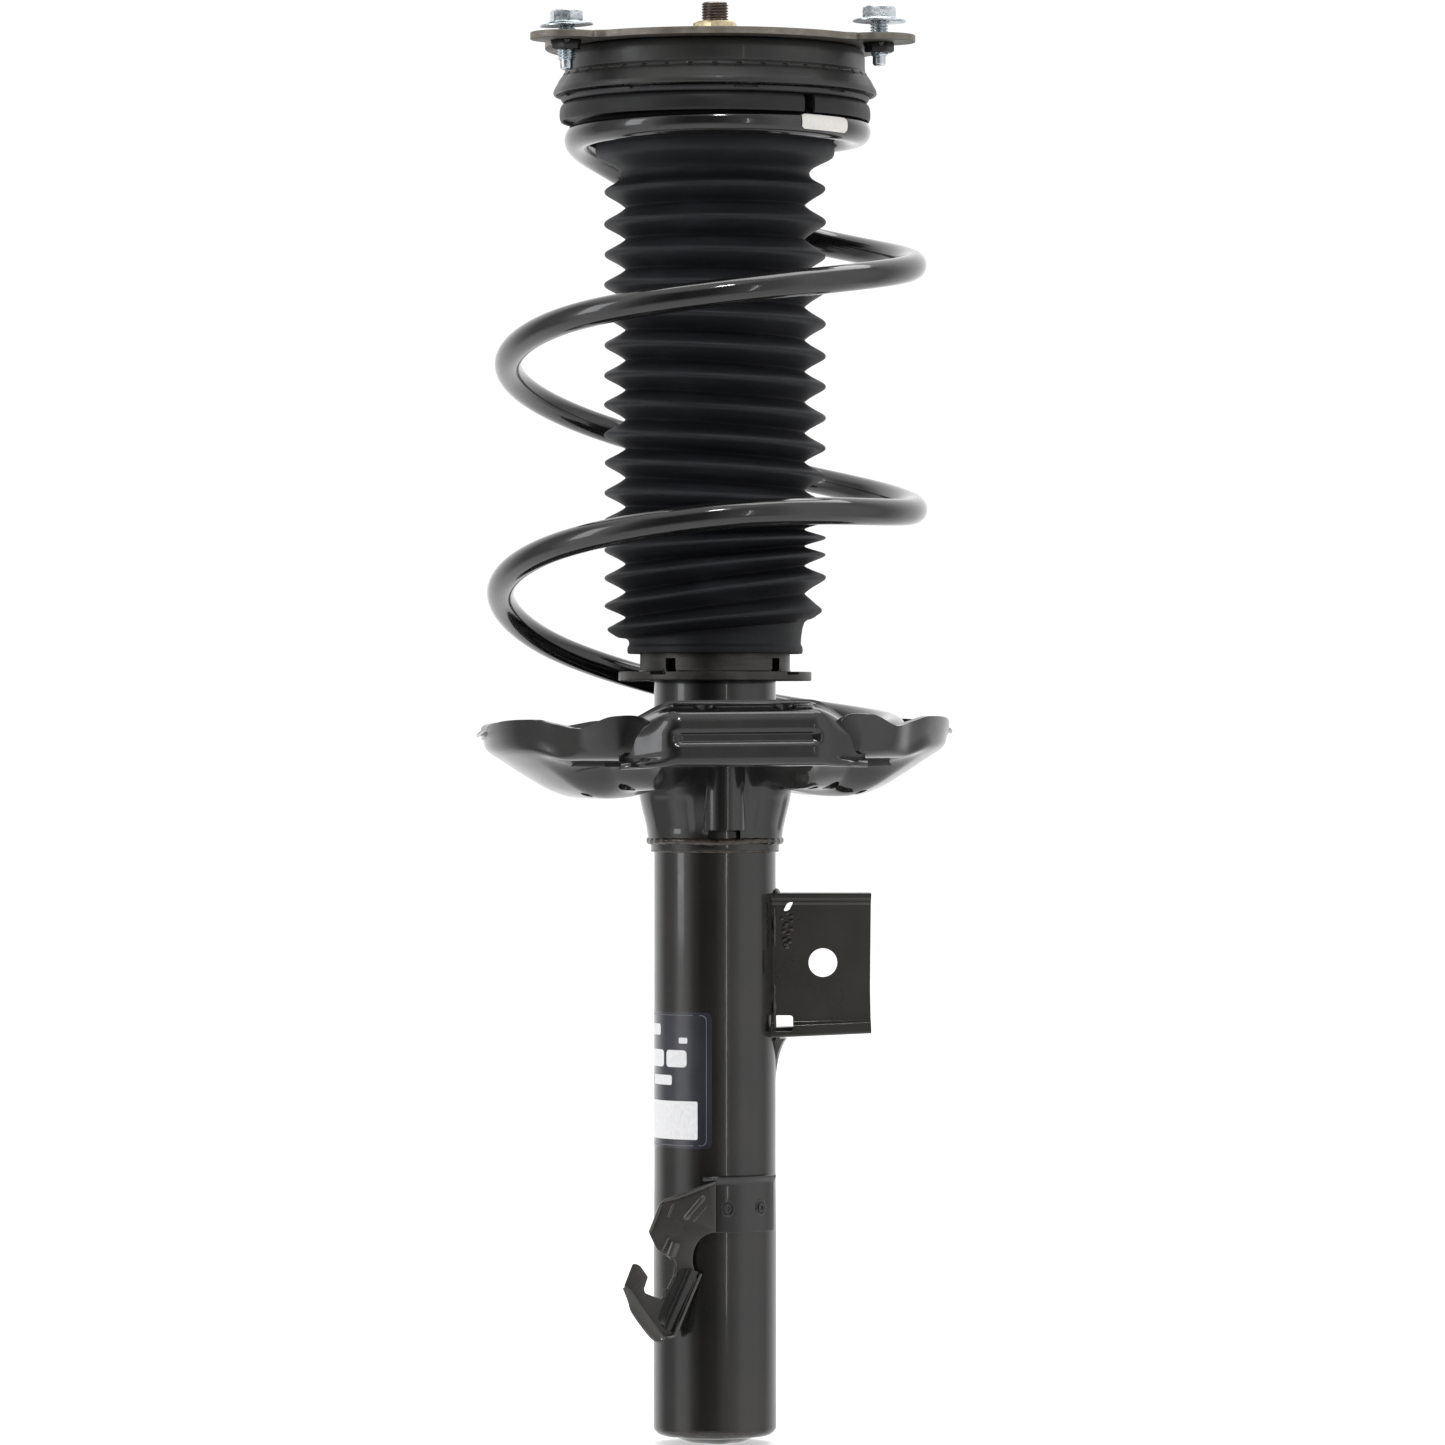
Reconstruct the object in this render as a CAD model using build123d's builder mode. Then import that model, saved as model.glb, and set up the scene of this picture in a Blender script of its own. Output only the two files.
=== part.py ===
from build123d import *
import os
from math import cos, radians, sin

# MacPherson strut assembly: damper tube with its brackets and lower spring seat, coil spring,
# dust boot, piston rod, steering bearing and rubber top mount.
# Millimetres. The origin is on the strut axis at the lower end of the tube's clamp land.
# +Z points up the strut, -Y is the side that carries the hose bracket, +X the link bracket.

os.makedirs("parts", exist_ok=True)

# ---------------------------------------------------------------- driving dimensions
TUBE_R = 27.5            # clamp land that the knuckle grips, 55 mm across
LAND_LENGTH = 82.0
BODY_R = 27.2            # tube above the land
TUBE_BORE_R = 25.3
TUBE_TOP = 343.5
FOOT_DEPTH = 8.0         # base cap's boss below the clamp land

CYLINDER_BORE_R = 16.0
CYLINDER_R = 17.5
ROD_R = 11.0
ROD_TOP = 635.7
THREAD_R = 6.0           # M12 x 1.25 at the top of the rod
RUNNING_GAP = 0.04       # radial gap of the sliding fits

GUIDE_BOTTOM = 312.0
GUIDE_TOP = 336.0
GUIDE_STEP = 10.0        # how far the guide's spigot reaches into the inner cylinder

SEAT_TURN = 8.0          # the spring seat's front, turned towards +X
SEAT_R = 107.3
SHEET = 2.8              # pressed steel thickness of seat and support

WIRE_R = 6.0
COIL_HEIGHTS = [         # (angle along the wire in degrees from +X, height of its centre)
    (-200, 305), (-90, 306.5), (0, 311), (90, 327), (135, 346), (180, 370.5), (225, 391),
    (270, 403), (360, 409.5), (410, 422.5), (460, 440), (540, 473.5), (585, 490), (630, 500),
    (720, 519), (774, 533.5), (825, 554), (861, 567.5), (900, 574.5), (960, 577.2), (1000, 577.6),
    (1230, 577.6),
]
COIL_RADII = [           # (angle, radius of the wire's centre line)
    (-200, 80), (-60, 80), (120, 90), (200, 92.5), (400, 92.5), (560, 90), (740, 88.4),
    (790, 80), (861, 65), (900, 62.3), (970, 61.6), (1230, 61.6),
]
COIL_OFFSETS = [         # (angle, sideways offset of the coil's centre along X)
    (-200, 0), (100, -3.6), (400, -3.6), (540, -2.2), (740, -2.2), (900, 1), (970, 2), (1230, 2),
]
COIL_STARTS = -200
COIL_ENDS = 1230
COIL_STEP = 26           # degrees of wire between two points of its centre line

BOOT_FOLDS = 16
BOOT_PEAK_R = 50.0
BOOT_VALLEY_R = 40.0
BOOT_WALL = 1.4
BOOT_FOLDS_BOTTOM = 355.5
BOOT_FOLDS_TOP = 560.0
BOOT_TOP = 575.0

BALL_R = 3.0
BALL_COUNT = 28
BALL_CIRCLE_R = 50.0
BALL_HEIGHT = 599.1
BALL_GAP = 0.25          # between the balls and each race

PLATE_BOTTOM = 614.6
PLATE_TOP = 617.8
BOLT_CIRCLE_R = 80.0     # 160 mm pitch circle
FIRST_BOLT_ANGLE = -24.8
BOLT_ANGLES = [FIRST_BOLT_ANGLE + 120 * i for i in range(3)]
BOLT_LIFTS = [0.0, -1.5, -3.0]   # how much deeper each bolt sits than the highest one
BOLT_R = 4.0             # M8
BOLT_CORE_R = 3.8        # the thread's mean radius
WASHER_BOTTOM = 623.6    # underside of the highest bolt's washer


# ---------------------------------------------------------------- shared shapes
def turned(*corners, mode=Mode.ADD):
    """Revolve a closed half-section, given as (radius, height) corners, about the strut axis."""
    with BuildSketch(Plane.XZ) as section:
        with BuildLine():
            Polyline(*corners, close=True)
        make_face()
    revolve(section.sketch, axis=Axis.Z, mode=mode)


def ring(inner_r, outer_r, bottom, top):
    """A plain ring, or a disc where inner_r is zero."""
    turned((inner_r, bottom), (outer_r, bottom), (outer_r, top), (inner_r, top))


def curved_sheet(inner_r, outer_r, start, turn, bottom, top):
    """Sheet wrapped round the strut axis, from the start angle over the turn, in degrees."""
    with BuildSketch(Plane.XY.offset(bottom)) as section:
        with BuildLine():
            outer = CenterArc((0, 0), outer_r, start, turn)
            inner = CenterArc((0, 0), inner_r, start, turn)
            Line(outer @ 0, inner @ 0)
            Line(outer @ 1, inner @ 1)
        make_face()
    extrude(section.sketch, amount=top - bottom)


def upright_sheet(outline, front, back):
    """Flat sheet that faces -Y: an outline of (x, z) corners between two depths along Y."""
    with BuildSketch(Plane.XZ.offset(-back)) as section:
        with BuildLine():
            Polyline(*outline, close=True)
        make_face()
    extrude(section.sketch, amount=back - front)


def block(low, high, mode=Mode.ADD):
    """An axis-aligned box between two corners."""
    size = [high[i] - low[i] for i in range(3)]
    middle = [(high[i] + low[i]) / 2 for i in range(3)]
    with Locations(tuple(middle)):
        Box(*size, mode=mode)


def on_curve(table, angle):
    """Value at an angle on the smooth curve through the table's (angle, value) points."""
    def slope(i):
        if i in (0, len(table) - 1):
            return 0.0
        (a0, v0), (a1, v1), (a2, v2) = table[i - 1:i + 2]
        before, after = (v1 - v0) / (a1 - a0), (v2 - v1) / (a2 - a1)
        if before * after <= 0:
            return 0.0
        return (before * (a2 - a1) + after * (a1 - a0)) / (a2 - a0)

    i = next(n for n in range(len(table) - 1) if angle <= table[n + 1][0])
    (a0, v0), (a1, v1) = table[i:i + 2]
    step = a1 - a0
    u = (angle - a0) / step
    start, end = slope(i) * step, slope(i + 1) * step
    return (
        (2 * u ** 3 - 3 * u ** 2 + 1) * v0 + (u ** 3 - 2 * u ** 2 + u) * start
        + (3 * u ** 2 - 2 * u ** 3) * v1 + (u ** 3 - u ** 2) * end
    )


def wire_centre(angle):
    """Point on the centre line of the spring's wire."""
    radius, offset = on_curve(COIL_RADII, angle), on_curve(COIL_OFFSETS, angle)
    turn = radians(angle)
    return (offset + radius * cos(turn), radius * sin(turn), on_curve(COIL_HEIGHTS, angle))


def around(angle, radius, height=0.0):
    """Point at a polar position about the strut axis."""
    return (radius * cos(radians(angle)), radius * sin(radians(angle)), height)


# ================================================================ damper tube
with BuildPart() as outer_tube:
    turned(
        (TUBE_BORE_R, 0), (TUBE_R, 0), (TUBE_R, LAND_LENGTH), (BODY_R, LAND_LENGTH + 30),
        (BODY_R, TUBE_TOP - 2), (BODY_R - 2, TUBE_TOP), (22, TUBE_TOP), (22, TUBE_TOP - 2),
        (TUBE_BORE_R, TUBE_TOP - 2),
    )
outer_tube.part.label = "outer_tube"
export_step(outer_tube.part, "parts/outer_tube.step")

CORNER_R = 4.0
BOSS_R = 17.5
with BuildPart() as base_cap:
    with BuildSketch(Plane.XZ) as cap_section:
        with BuildLine():
            Line((0, -FOOT_DEPTH), (9, -FOOT_DEPTH))
            ThreePointArc((9, -FOOT_DEPTH), (14.2, -6.8), (BOSS_R, -CORNER_R))
            Line((BOSS_R, -CORNER_R), (TUBE_R - CORNER_R, -CORNER_R))
            ThreePointArc(
                (TUBE_R - CORNER_R, -CORNER_R),
                (TUBE_R - CORNER_R * 0.293, -CORNER_R * 0.707),
                (TUBE_R, 0),
            )
            Polyline((TUBE_R, 0), (24.2, 0), (23.4, -1), (17, -1), (8, -4.5), (0, -4.5))
            Line((0, -4.5), (0, -FOOT_DEPTH))
        make_face()
    revolve(axis=Axis.Z)
base_cap.part.label = "base_cap"
export_step(base_cap.part, "parts/base_cap.step")

VALVE_TOP = 12.0
VALVE_FLANGE_R = 20.0
VALVE_FLANGE_TOP = 3.0
with BuildPart() as base_valve:
    turned(
        (0, -1), (VALVE_FLANGE_R, -1), (VALVE_FLANGE_R, VALVE_FLANGE_TOP),
        (CYLINDER_BORE_R, VALVE_FLANGE_TOP), (CYLINDER_BORE_R, VALVE_TOP),
        (6, VALVE_TOP), (6, VALVE_TOP + 2), (0, VALVE_TOP + 2),
    )
    with PolarLocations(VALVE_FLANGE_R, 4):
        Box(8, 6, 12, mode=Mode.SUBTRACT)
base_valve.part.label = "base_valve"
export_step(base_valve.part, "parts/base_valve.step")

with BuildPart() as inner_cylinder:
    ring(CYLINDER_BORE_R, CYLINDER_R, VALVE_FLANGE_TOP, GUIDE_BOTTOM + GUIDE_STEP)
inner_cylinder.part.label = "inner_cylinder"
export_step(inner_cylinder.part, "parts/inner_cylinder.step")

BUSH_R = 12.5
with BuildPart() as rod_guide:
    turned(
        (BUSH_R, GUIDE_BOTTOM), (CYLINDER_BORE_R, GUIDE_BOTTOM),
        (CYLINDER_BORE_R, GUIDE_BOTTOM + GUIDE_STEP), (TUBE_BORE_R, GUIDE_BOTTOM + GUIDE_STEP),
        (TUBE_BORE_R, GUIDE_TOP), (BUSH_R, GUIDE_TOP),
    )
rod_guide.part.label = "rod_guide"
export_step(rod_guide.part, "parts/rod_guide.step")

with BuildPart() as guide_bush:
    ring(ROD_R + RUNNING_GAP, BUSH_R, GUIDE_BOTTOM + 2, GUIDE_TOP - 2)
guide_bush.part.label = "guide_bush"
export_step(guide_bush.part, "parts/guide_bush.step")

with BuildPart() as oil_seal:
    turned(
        (13, GUIDE_TOP), (TUBE_BORE_R, GUIDE_TOP), (TUBE_BORE_R, TUBE_TOP - 2),
        (14, TUBE_TOP - 2), (ROD_R + RUNNING_GAP, TUBE_TOP - 3.5), (ROD_R + RUNNING_GAP, TUBE_TOP - 5),
    )
oil_seal.part.label = "oil_seal"
export_step(oil_seal.part, "parts/oil_seal.step")

CAP_BOTTOM = 332.6
CAP_FLANGE_R = 43.1
CAP_FLANGE = 4.0
CAP_R = 33.5
CAP_TOP = 352.0
CAP_WALL = 2.4
CAP_SLOTS = 4
CAP_SLOT_ANGLE = -126
with BuildPart() as bump_cap:
    turned(
        (BODY_R, CAP_BOTTOM), (CAP_FLANGE_R, CAP_BOTTOM), (CAP_FLANGE_R, CAP_BOTTOM + CAP_FLANGE),
        (CAP_R, CAP_BOTTOM + CAP_FLANGE), (CAP_R, CAP_TOP), (15, CAP_TOP), (15, CAP_TOP - 2.6),
        (CAP_R - CAP_WALL, CAP_TOP - 2.6), (CAP_R - CAP_WALL, CAP_BOTTOM + 3.4),
        (BODY_R, CAP_BOTTOM + 3.4),
    )
    rims = bump_cap.edges().filter_by(GeomType.CIRCLE)
    fillet(rims.filter_by(lambda e: abs(e.radius - CAP_R) < 0.01).sort_by(Axis.Z)[-1], 1.6)
    with PolarLocations(CAP_R, CAP_SLOTS, start_angle=CAP_SLOT_ANGLE):
        with Locations((0, 0, CAP_BOTTOM + CAP_FLANGE + 3)):
            Box(8, 5.4, 6, mode=Mode.SUBTRACT)
    with PolarLocations(CAP_FLANGE_R, CAP_SLOTS, start_angle=CAP_SLOT_ANGLE):
        with Locations((0, 0, CAP_BOTTOM + CAP_FLANGE)):
            Box(7, 8.5, 3, mode=Mode.SUBTRACT)
bump_cap.part.label = "bump_cap"
export_step(bump_cap.part, "parts/bump_cap.step")

# ================================================================ lower spring seat and its support
SUPPORT_BOTTOM = 260.6
SUPPORT_TOP = 297.0
CONE_BOTTOM_R = 30.0
CONE_TOP_R = 34.0        # above CONE_HEIGHT
CONE_HEIGHT = 284.0
COLLAR_R = 28.9
BEAD_R = 9.5
BEAD_CENTRE_R = 28.5
seat_plane = Plane.XY.rotated((0, 0, SEAT_TURN))
with BuildPart() as collar_ring:
    ring(BODY_R, COLLAR_R, SUPPORT_BOTTOM - 3.6, SUPPORT_BOTTOM)
collar_ring.part.label = "collar_ring"
export_step(collar_ring.part, "parts/collar_ring.step")

with BuildPart() as seat_support:
    turned(
        (0, SUPPORT_BOTTOM), (CONE_BOTTOM_R, SUPPORT_BOTTOM), (CONE_TOP_R, CONE_HEIGHT),
        (CONE_TOP_R, SUPPORT_TOP), (0, SUPPORT_TOP),
    )
    with PolarLocations(BEAD_CENTRE_R, 2, start_angle=-90 + SEAT_TURN):
        with Locations((0, 0, SUPPORT_BOTTOM + 4)):
            Cylinder(BEAD_R, 28, align=(Align.CENTER, Align.CENTER, Align.MIN))
    # The beads are hollow and open at the bottom, and the cone clears the tube inside.
    with PolarLocations(BEAD_CENTRE_R, 2, start_angle=-90 + SEAT_TURN):
        with Locations((0, 0, SUPPORT_BOTTOM - 1)):
            Cylinder(
                BEAD_R - SHEET, 30, align=(Align.CENTER, Align.CENTER, Align.MIN),
                mode=Mode.SUBTRACT,
            )
    turned(
        (0, SUPPORT_BOTTOM), (BODY_R, SUPPORT_BOTTOM), (BODY_R, SUPPORT_BOTTOM + 4),
        (CONE_TOP_R - SHEET, CONE_HEIGHT), (CONE_TOP_R - SHEET, SUPPORT_TOP), (0, SUPPORT_TOP),
        mode=Mode.SUBTRACT,
    )
seat_support.part.label = "seat_support"
export_step(seat_support.part, "parts/seat_support.step")

BRIDGE_HALF = 38.0       # half width of the raised floor at the front and the back
BRIDGE_BOTTOM = 295.6
PANEL_HALF = 49.0        # half width of the upright front panel
PANEL_TOP = 323.2
PANEL_HOLE_R = 5.2
PANEL_HOLE_X = 17.4
PANEL_HOLE_Y = -93.2
DRAIN_HOLES = [          # (x, y, radius) in the floor, from the seat's own front
    (-52, -48, 3.8), (52, -48, 3.8), (-60, 20, 2.7), (60, 20, 2.7), (0, 60, 2.7),
]
FLOOR_R = 34.05
RIM_TOP = 313.5
WALL_START = -129.0      # the upright front wall, seen from above, in degrees from +X
WALL_TURN = 98.0
with BuildPart() as lower_spring_seat:
    # Bowl: floor, sloped wall and rim.
    turned(
        (FLOOR_R, 281.5), (50, 279.3), (72, 281), (82, 286.5), (97, 297), (104, 303.5),
        (SEAT_R, 309), (SEAT_R, RIM_TOP), (SEAT_R - SHEET, RIM_TOP), (SEAT_R - SHEET, 310),
        (101.5, 304.8), (95, 299.3), (80.5, 289.3), (71, 284), (50, 282.2), (FLOOR_R, 284.3),
    )
    # The front and the back of the bowl give way to a raised floor with side walls.
    for way in (-1, 1):
        with BuildSketch(seat_plane.offset(270)):
            with Locations((0, way * 71)):
                Rectangle(2 * BRIDGE_HALF, 82)
        extrude(amount=50, mode=Mode.SUBTRACT)
        for side in (-1, 1):
            with BuildSketch(seat_plane.offset(280)):
                with Locations((side * (BRIDGE_HALF - SHEET / 2), way * 62)):
                    Rectangle(SHEET, 54)
            extrude(amount=BRIDGE_BOTTOM + SHEET - 280)
        with BuildSketch(seat_plane.offset(BRIDGE_BOTTOM)):
            with Locations((0, way * 61)):
                Rectangle(2 * BRIDGE_HALF, 56)
            Circle(FLOOR_R, mode=Mode.SUBTRACT)
        extrude(amount=SHEET)
    # Upright front wall with a ledge at its foot.
    curved_sheet(92, SEAT_R, WALL_START, WALL_TURN, BRIDGE_BOTTOM, BRIDGE_BOTTOM + SHEET)
    curved_sheet(SEAT_R - SHEET, SEAT_R, WALL_START, WALL_TURN, BRIDGE_BOTTOM, RIM_TOP)
    # Raised middle panel with a sloped shelf along its top.
    with BuildSketch(Plane.YZ.rotated((0, 0, SEAT_TURN)).offset(-PANEL_HALF)):
        with BuildLine():
            Polyline(
                (-87, BRIDGE_BOTTOM), (-99, BRIDGE_BOTTOM), (-102, 299), (-102, 312.5),
                (-99.6, 317.2), (-87.4, 320.4), (-85.2, PANEL_TOP), (-83, 321.4), (-85.6, 318),
                (-97.6, 314.9), (-99.2, 311.6), (-99.2, 300.5), (-97.6, BRIDGE_BOTTOM + SHEET),
                (-87, BRIDGE_BOTTOM + SHEET), close=True,
            )
        make_face()
    extrude(amount=2 * PANEL_HALF)
    for x in (-PANEL_HOLE_X, PANEL_HOLE_X):
        with Locations(seat_plane.offset(PANEL_TOP - 4) * Location((x, PANEL_HOLE_Y, 0))):
            Cylinder(PANEL_HOLE_R, 12, mode=Mode.SUBTRACT)
    for x, y, r in DRAIN_HOLES:
        with Locations(seat_plane.offset(285) * Location((x, y, 0))):
            Cylinder(r, 40, mode=Mode.SUBTRACT)
lower_spring_seat.part.label = "lower_spring_seat"
export_step(lower_spring_seat.part, "parts/lower_spring_seat.step")

PAD_INNER_R = 73.0
PAD_OUTER_R = 86.0
PAD_BOTTOM = 294.6
PAD_TOP = 298.6
PAD_TURN = 96.0
with BuildPart() as spring_pad:
    for start in (-PAD_TURN / 2, 180 - PAD_TURN / 2):
        curved_sheet(PAD_INNER_R, PAD_OUTER_R, start + SEAT_TURN, PAD_TURN, PAD_BOTTOM, PAD_TOP)
spring_pad.part.label = "spring_pad"
export_step(spring_pad.part, "parts/spring_pad.step")

# ================================================================ brackets and label
LINK_HOLE_X = 48.1
LINK_HOLE_Z = 207.0
LINK_HOLE_R = 6.4
LINK_SHEET = 4.0
LINK_RIGHT = 69.7
LINK_BOTTOM = 173.5
LINK_TOP = 238.0
LINK_FRONT = -9.0
LINK_BACK = 13.0
NOTCH_RIGHT = 34.6
NOTCH_TOP = 183.6
SLOT_X = 32.6
SLOT_Z = 231.5
SLOT_R = 2.2
with BuildPart() as link_bracket:
    block((0, LINK_FRONT, LINK_BOTTOM), (LINK_RIGHT, LINK_BACK, LINK_TOP))
    long_edges = link_bracket.edges().filter_by(Axis.X).group_by(Axis.Y)[0]
    fillet(long_edges, 5.0)
    block(
        (0, LINK_FRONT + LINK_SHEET, LINK_BOTTOM + LINK_SHEET),
        (LINK_RIGHT + 1, LINK_BACK + 1, LINK_TOP - LINK_SHEET), mode=Mode.SUBTRACT,
    )
    with Locations((0, 0, (LINK_TOP + LINK_BOTTOM) / 2)):
        Cylinder(BODY_R, 80, mode=Mode.SUBTRACT)
        with Locations((-20, 0, 0)):
            Box(40, 60, 80, mode=Mode.SUBTRACT)
    # Right edge drawn in between its two corners, and the corners rounded off.
    with Locations((LINK_RIGHT + 117, 0, (LINK_TOP + LINK_BOTTOM) / 2)):
        Cylinder(120, 60, rotation=(90, 0, 0), mode=Mode.SUBTRACT)
    with Locations((LINK_HOLE_X, LINK_FRONT, LINK_HOLE_Z)):
        Cylinder(LINK_HOLE_R, 3 * LINK_SHEET, rotation=(90, 0, 0), mode=Mode.SUBTRACT)
    # Clearance notch beside the tube at the lower end, small drain slot at the upper end.
    block((24, LINK_FRONT - 1, 176), (NOTCH_RIGHT, 0, NOTCH_TOP), mode=Mode.SUBTRACT)
    with Locations((SLOT_X, LINK_FRONT, SLOT_Z)):
        Cylinder(SLOT_R, 3 * LINK_SHEET, rotation=(90, 0, 0), mode=Mode.SUBTRACT)
link_bracket.part.label = "link_bracket"
export_step(link_bracket.part, "parts/link_bracket.step")

BAND_BOTTOM = 88.0
BAND_TOP = 113.0
CLIP_FRONT = -30.6
CLIP_BACK = -28.3
LIP_FRONT = -36.0
with BuildPart() as hose_bracket:
    curved_sheet(BODY_R + 0.3, 29.9, -96, 68, BAND_BOTTOM, BAND_TOP)
    # Upper plate, arm and hooked lower strip: an open C for the hose grommet.
    upright_sheet(
        [
            (2.2, 110.9), (-6.7, 108.7), (-22.8, 103.3), (-24.6, 100.2), (-26.8, 93.9),
            (-29.9, 87.7), (-29.1, 85.9), (-25.9, 81.4), (-24.6, 78.7), (-17.5, 75.6),
            (-18.5, 67), (-24, 58), (-28.2, 58.2), (-33.1, 60.4), (-32.6, 63.1), (-30.8, 69.3),
            (-33.5, 73.4), (-35.8, 74.7), (-37.1, 72.9), (-40.7, 63.5), (-24.1, 39.8),
            (-17.4, 43.4), (-6.4, 68.4), (-9.8, 74.5), (-9.8, 80.5), (-6.7, 85), (-0.9, 88.3),
            (2.2, 89),
        ],
        CLIP_FRONT, CLIP_BACK,
    )
    # Stiffening lips along the arm's right edge and the strip's lower edge.
    upright_sheet([(-6.4, 68.4), (-17.4, 43.4), (-19.4, 44.3), (-8.6, 69)], LIP_FRONT, CLIP_BACK)
    upright_sheet([(-24.1, 39.8), (-40.7, 63.5), (-38.8, 64.6), (-22.6, 41.4)], LIP_FRONT, CLIP_BACK)
hose_bracket.part.label = "hose_bracket"
export_step(hose_bracket.part, "parts/hose_bracket.step")

LABEL_BOTTOM = 125.0
LABEL_TOP = 185.5
LABEL_START = -243.0
LABEL_TURN = 150.0
with BuildPart() as tube_label:
    curved_sheet(BODY_R + 0.02, BODY_R + 0.2, LABEL_START, LABEL_TURN, LABEL_BOTTOM, LABEL_TOP)
tube_label.part.label = "tube_label"
export_step(tube_label.part, "parts/tube_label.step")

# ================================================================ spring and boot
with BuildPart() as coil_spring:
    with BuildLine() as wire_path:
        Spline(*[wire_centre(angle) for angle in range(COIL_STARTS, COIL_ENDS + 1, COIL_STEP)])
    with BuildSketch(Plane(origin=wire_path.line @ 0, z_dir=wire_path.line % 0)):
        Circle(WIRE_R)
    sweep(path=wire_path.line)
coil_spring.part.label = "coil_spring"
export_step(coil_spring.part, "parts/coil_spring.step")

with BuildPart() as dust_boot:
    pitch = (BOOT_FOLDS_TOP - BOOT_FOLDS_BOTTOM) / BOOT_FOLDS
    outside = [(39.3, 344.4), (39.3, 348), (38.4, 348.3), (38.4, 352.6)]
    for fold in range(BOOT_FOLDS):
        low = BOOT_FOLDS_BOTTOM + fold * pitch
        outside += [
            (BOOT_VALLEY_R, low), (BOOT_PEAK_R - 1, low + 0.4 * pitch),
            (BOOT_PEAK_R, low + 0.5 * pitch), (BOOT_PEAK_R - 1, low + 0.6 * pitch),
        ]
    outside += [(BOOT_VALLEY_R, BOOT_FOLDS_TOP), (53.6, 567), (53.6, BOOT_TOP)]
    inside = [(max(r - BOOT_WALL, CAP_R + 0.1), z) for r, z in reversed(outside[4:-2])]
    turned(
        *outside, (50.1, BOOT_TOP), (50.1, 567.6), *inside,
        (CAP_R + 0.1, 352.6), (CAP_R + 0.1, 344.4),
    )
dust_boot.part.label = "dust_boot"
export_step(dust_boot.part, "parts/dust_boot.step")

# ================================================================ upper spring seat and bearing
SEAT_PLATE_BOTTOM = 590.5
SEAT_PLATE_TOP = 593.7
with BuildPart() as upper_spring_seat:
    turned(
        (48, 569.5), (50, 569.5), (50, SEAT_PLATE_BOTTOM), (69, SEAT_PLATE_BOTTOM),
        (69, SEAT_PLATE_TOP), (24, SEAT_PLATE_TOP), (24, SEAT_PLATE_TOP - 2.4),
        (48, SEAT_PLATE_TOP - 2.4),
    )
    with PolarLocations(69, 9, start_angle=-96):
        with Locations((0, 0, 592.4)):
            Box(3, 11, 1.4, mode=Mode.SUBTRACT)
upper_spring_seat.part.label = "upper_spring_seat"
export_step(upper_spring_seat.part, "parts/upper_spring_seat.step")

ISOLATOR_R = 69.5
with BuildPart() as spring_isolator:
    turned(
        (50.1, 583.9), (68.1, 583.9), (68.6, 582), (ISOLATOR_R, 583), (ISOLATOR_R, 589.5),
        (68.5, SEAT_PLATE_BOTTOM), (50.1, SEAT_PLATE_BOTTOM),
    )
    with PolarLocations(60, 1, start_angle=-53):
        with Locations((0, 0, 586)):
            Box(30, 5, 20, mode=Mode.SUBTRACT)
spring_isolator.part.label = "spring_isolator"
export_step(spring_isolator.part, "parts/spring_isolator.step")

with BuildPart() as bump_stop:
    STOP_TOP = SEAT_PLATE_TOP - 2.6
    turned(
        (11.6, 502), (15, 500), (17.5, 504), (19, 512), (17, 518), (21.5, 526), (22.5, 532),
        (19, 540), (23.5, 548), (24.5, 556), (20, 563), (25, 571), (25, STOP_TOP), (11.6, STOP_TOP),
    )
bump_stop.part.label = "bump_stop"
export_step(bump_stop.part, "parts/bump_stop.step")

TAG_TURN = 27.0
TAG_START = -58.0
TOP_COIL_X = COIL_OFFSETS[-1][1]
TOP_COIL_R = COIL_RADII[-1][1]
TOP_COIL_Z = COIL_HEIGHTS[-1][1]
with BuildPart() as spring_tag:
    tag_plane = Plane(
        origin=(TOP_COIL_X, 0, 0), x_dir=around(TAG_START, 1), z_dir=around(TAG_START - 90, 1)
    )
    with BuildSketch(tag_plane):
        with BuildLine():
            outer_arc = CenterArc((TOP_COIL_R, TOP_COIL_Z), WIRE_R + 0.35, -30, 68)
            inner_arc = CenterArc((TOP_COIL_R, TOP_COIL_Z), WIRE_R + 0.12, -30, 68)
            Line(outer_arc @ 0, inner_arc @ 0)
            Line(outer_arc @ 1, inner_arc @ 1)
        make_face()
    revolve(axis=Axis((TOP_COIL_X, 0, 0), (0, 0, 1)), revolution_arc=TAG_TURN)
spring_tag.part.label = "spring_tag"
export_step(spring_tag.part, "parts/spring_tag.step")

RACE_INNER_R = 43.0
RACE_OUTER_R = 57.0
LOWER_RACE_TOP = 597.4
UPPER_RACE_BOTTOM = 600.8
UPPER_RACE_TOP = 604.4
CAGE_BOTTOM = 598.2
CAGE_TOP = 600.0


def race(bottom, top):
    """Bearing race with a round track for the balls."""
    ring(RACE_INNER_R, RACE_OUTER_R, bottom, top)
    with BuildSketch(Plane.XZ) as track:
        with Locations((BALL_CIRCLE_R, BALL_HEIGHT)):
            Circle(BALL_R + BALL_GAP)
    revolve(track.sketch, axis=Axis.Z, mode=Mode.SUBTRACT)


with BuildPart() as lower_race:
    race(SEAT_PLATE_TOP, LOWER_RACE_TOP)
lower_race.part.label = "lower_race"
export_step(lower_race.part, "parts/lower_race.step")

with BuildPart() as bearing_balls:
    with PolarLocations(BALL_CIRCLE_R, BALL_COUNT):
        with Locations((0, 0, BALL_HEIGHT)):
            Sphere(BALL_R)
bearing_balls.part.label = "bearing_balls"
export_step(bearing_balls.part, "parts/bearing_balls.step")

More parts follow.
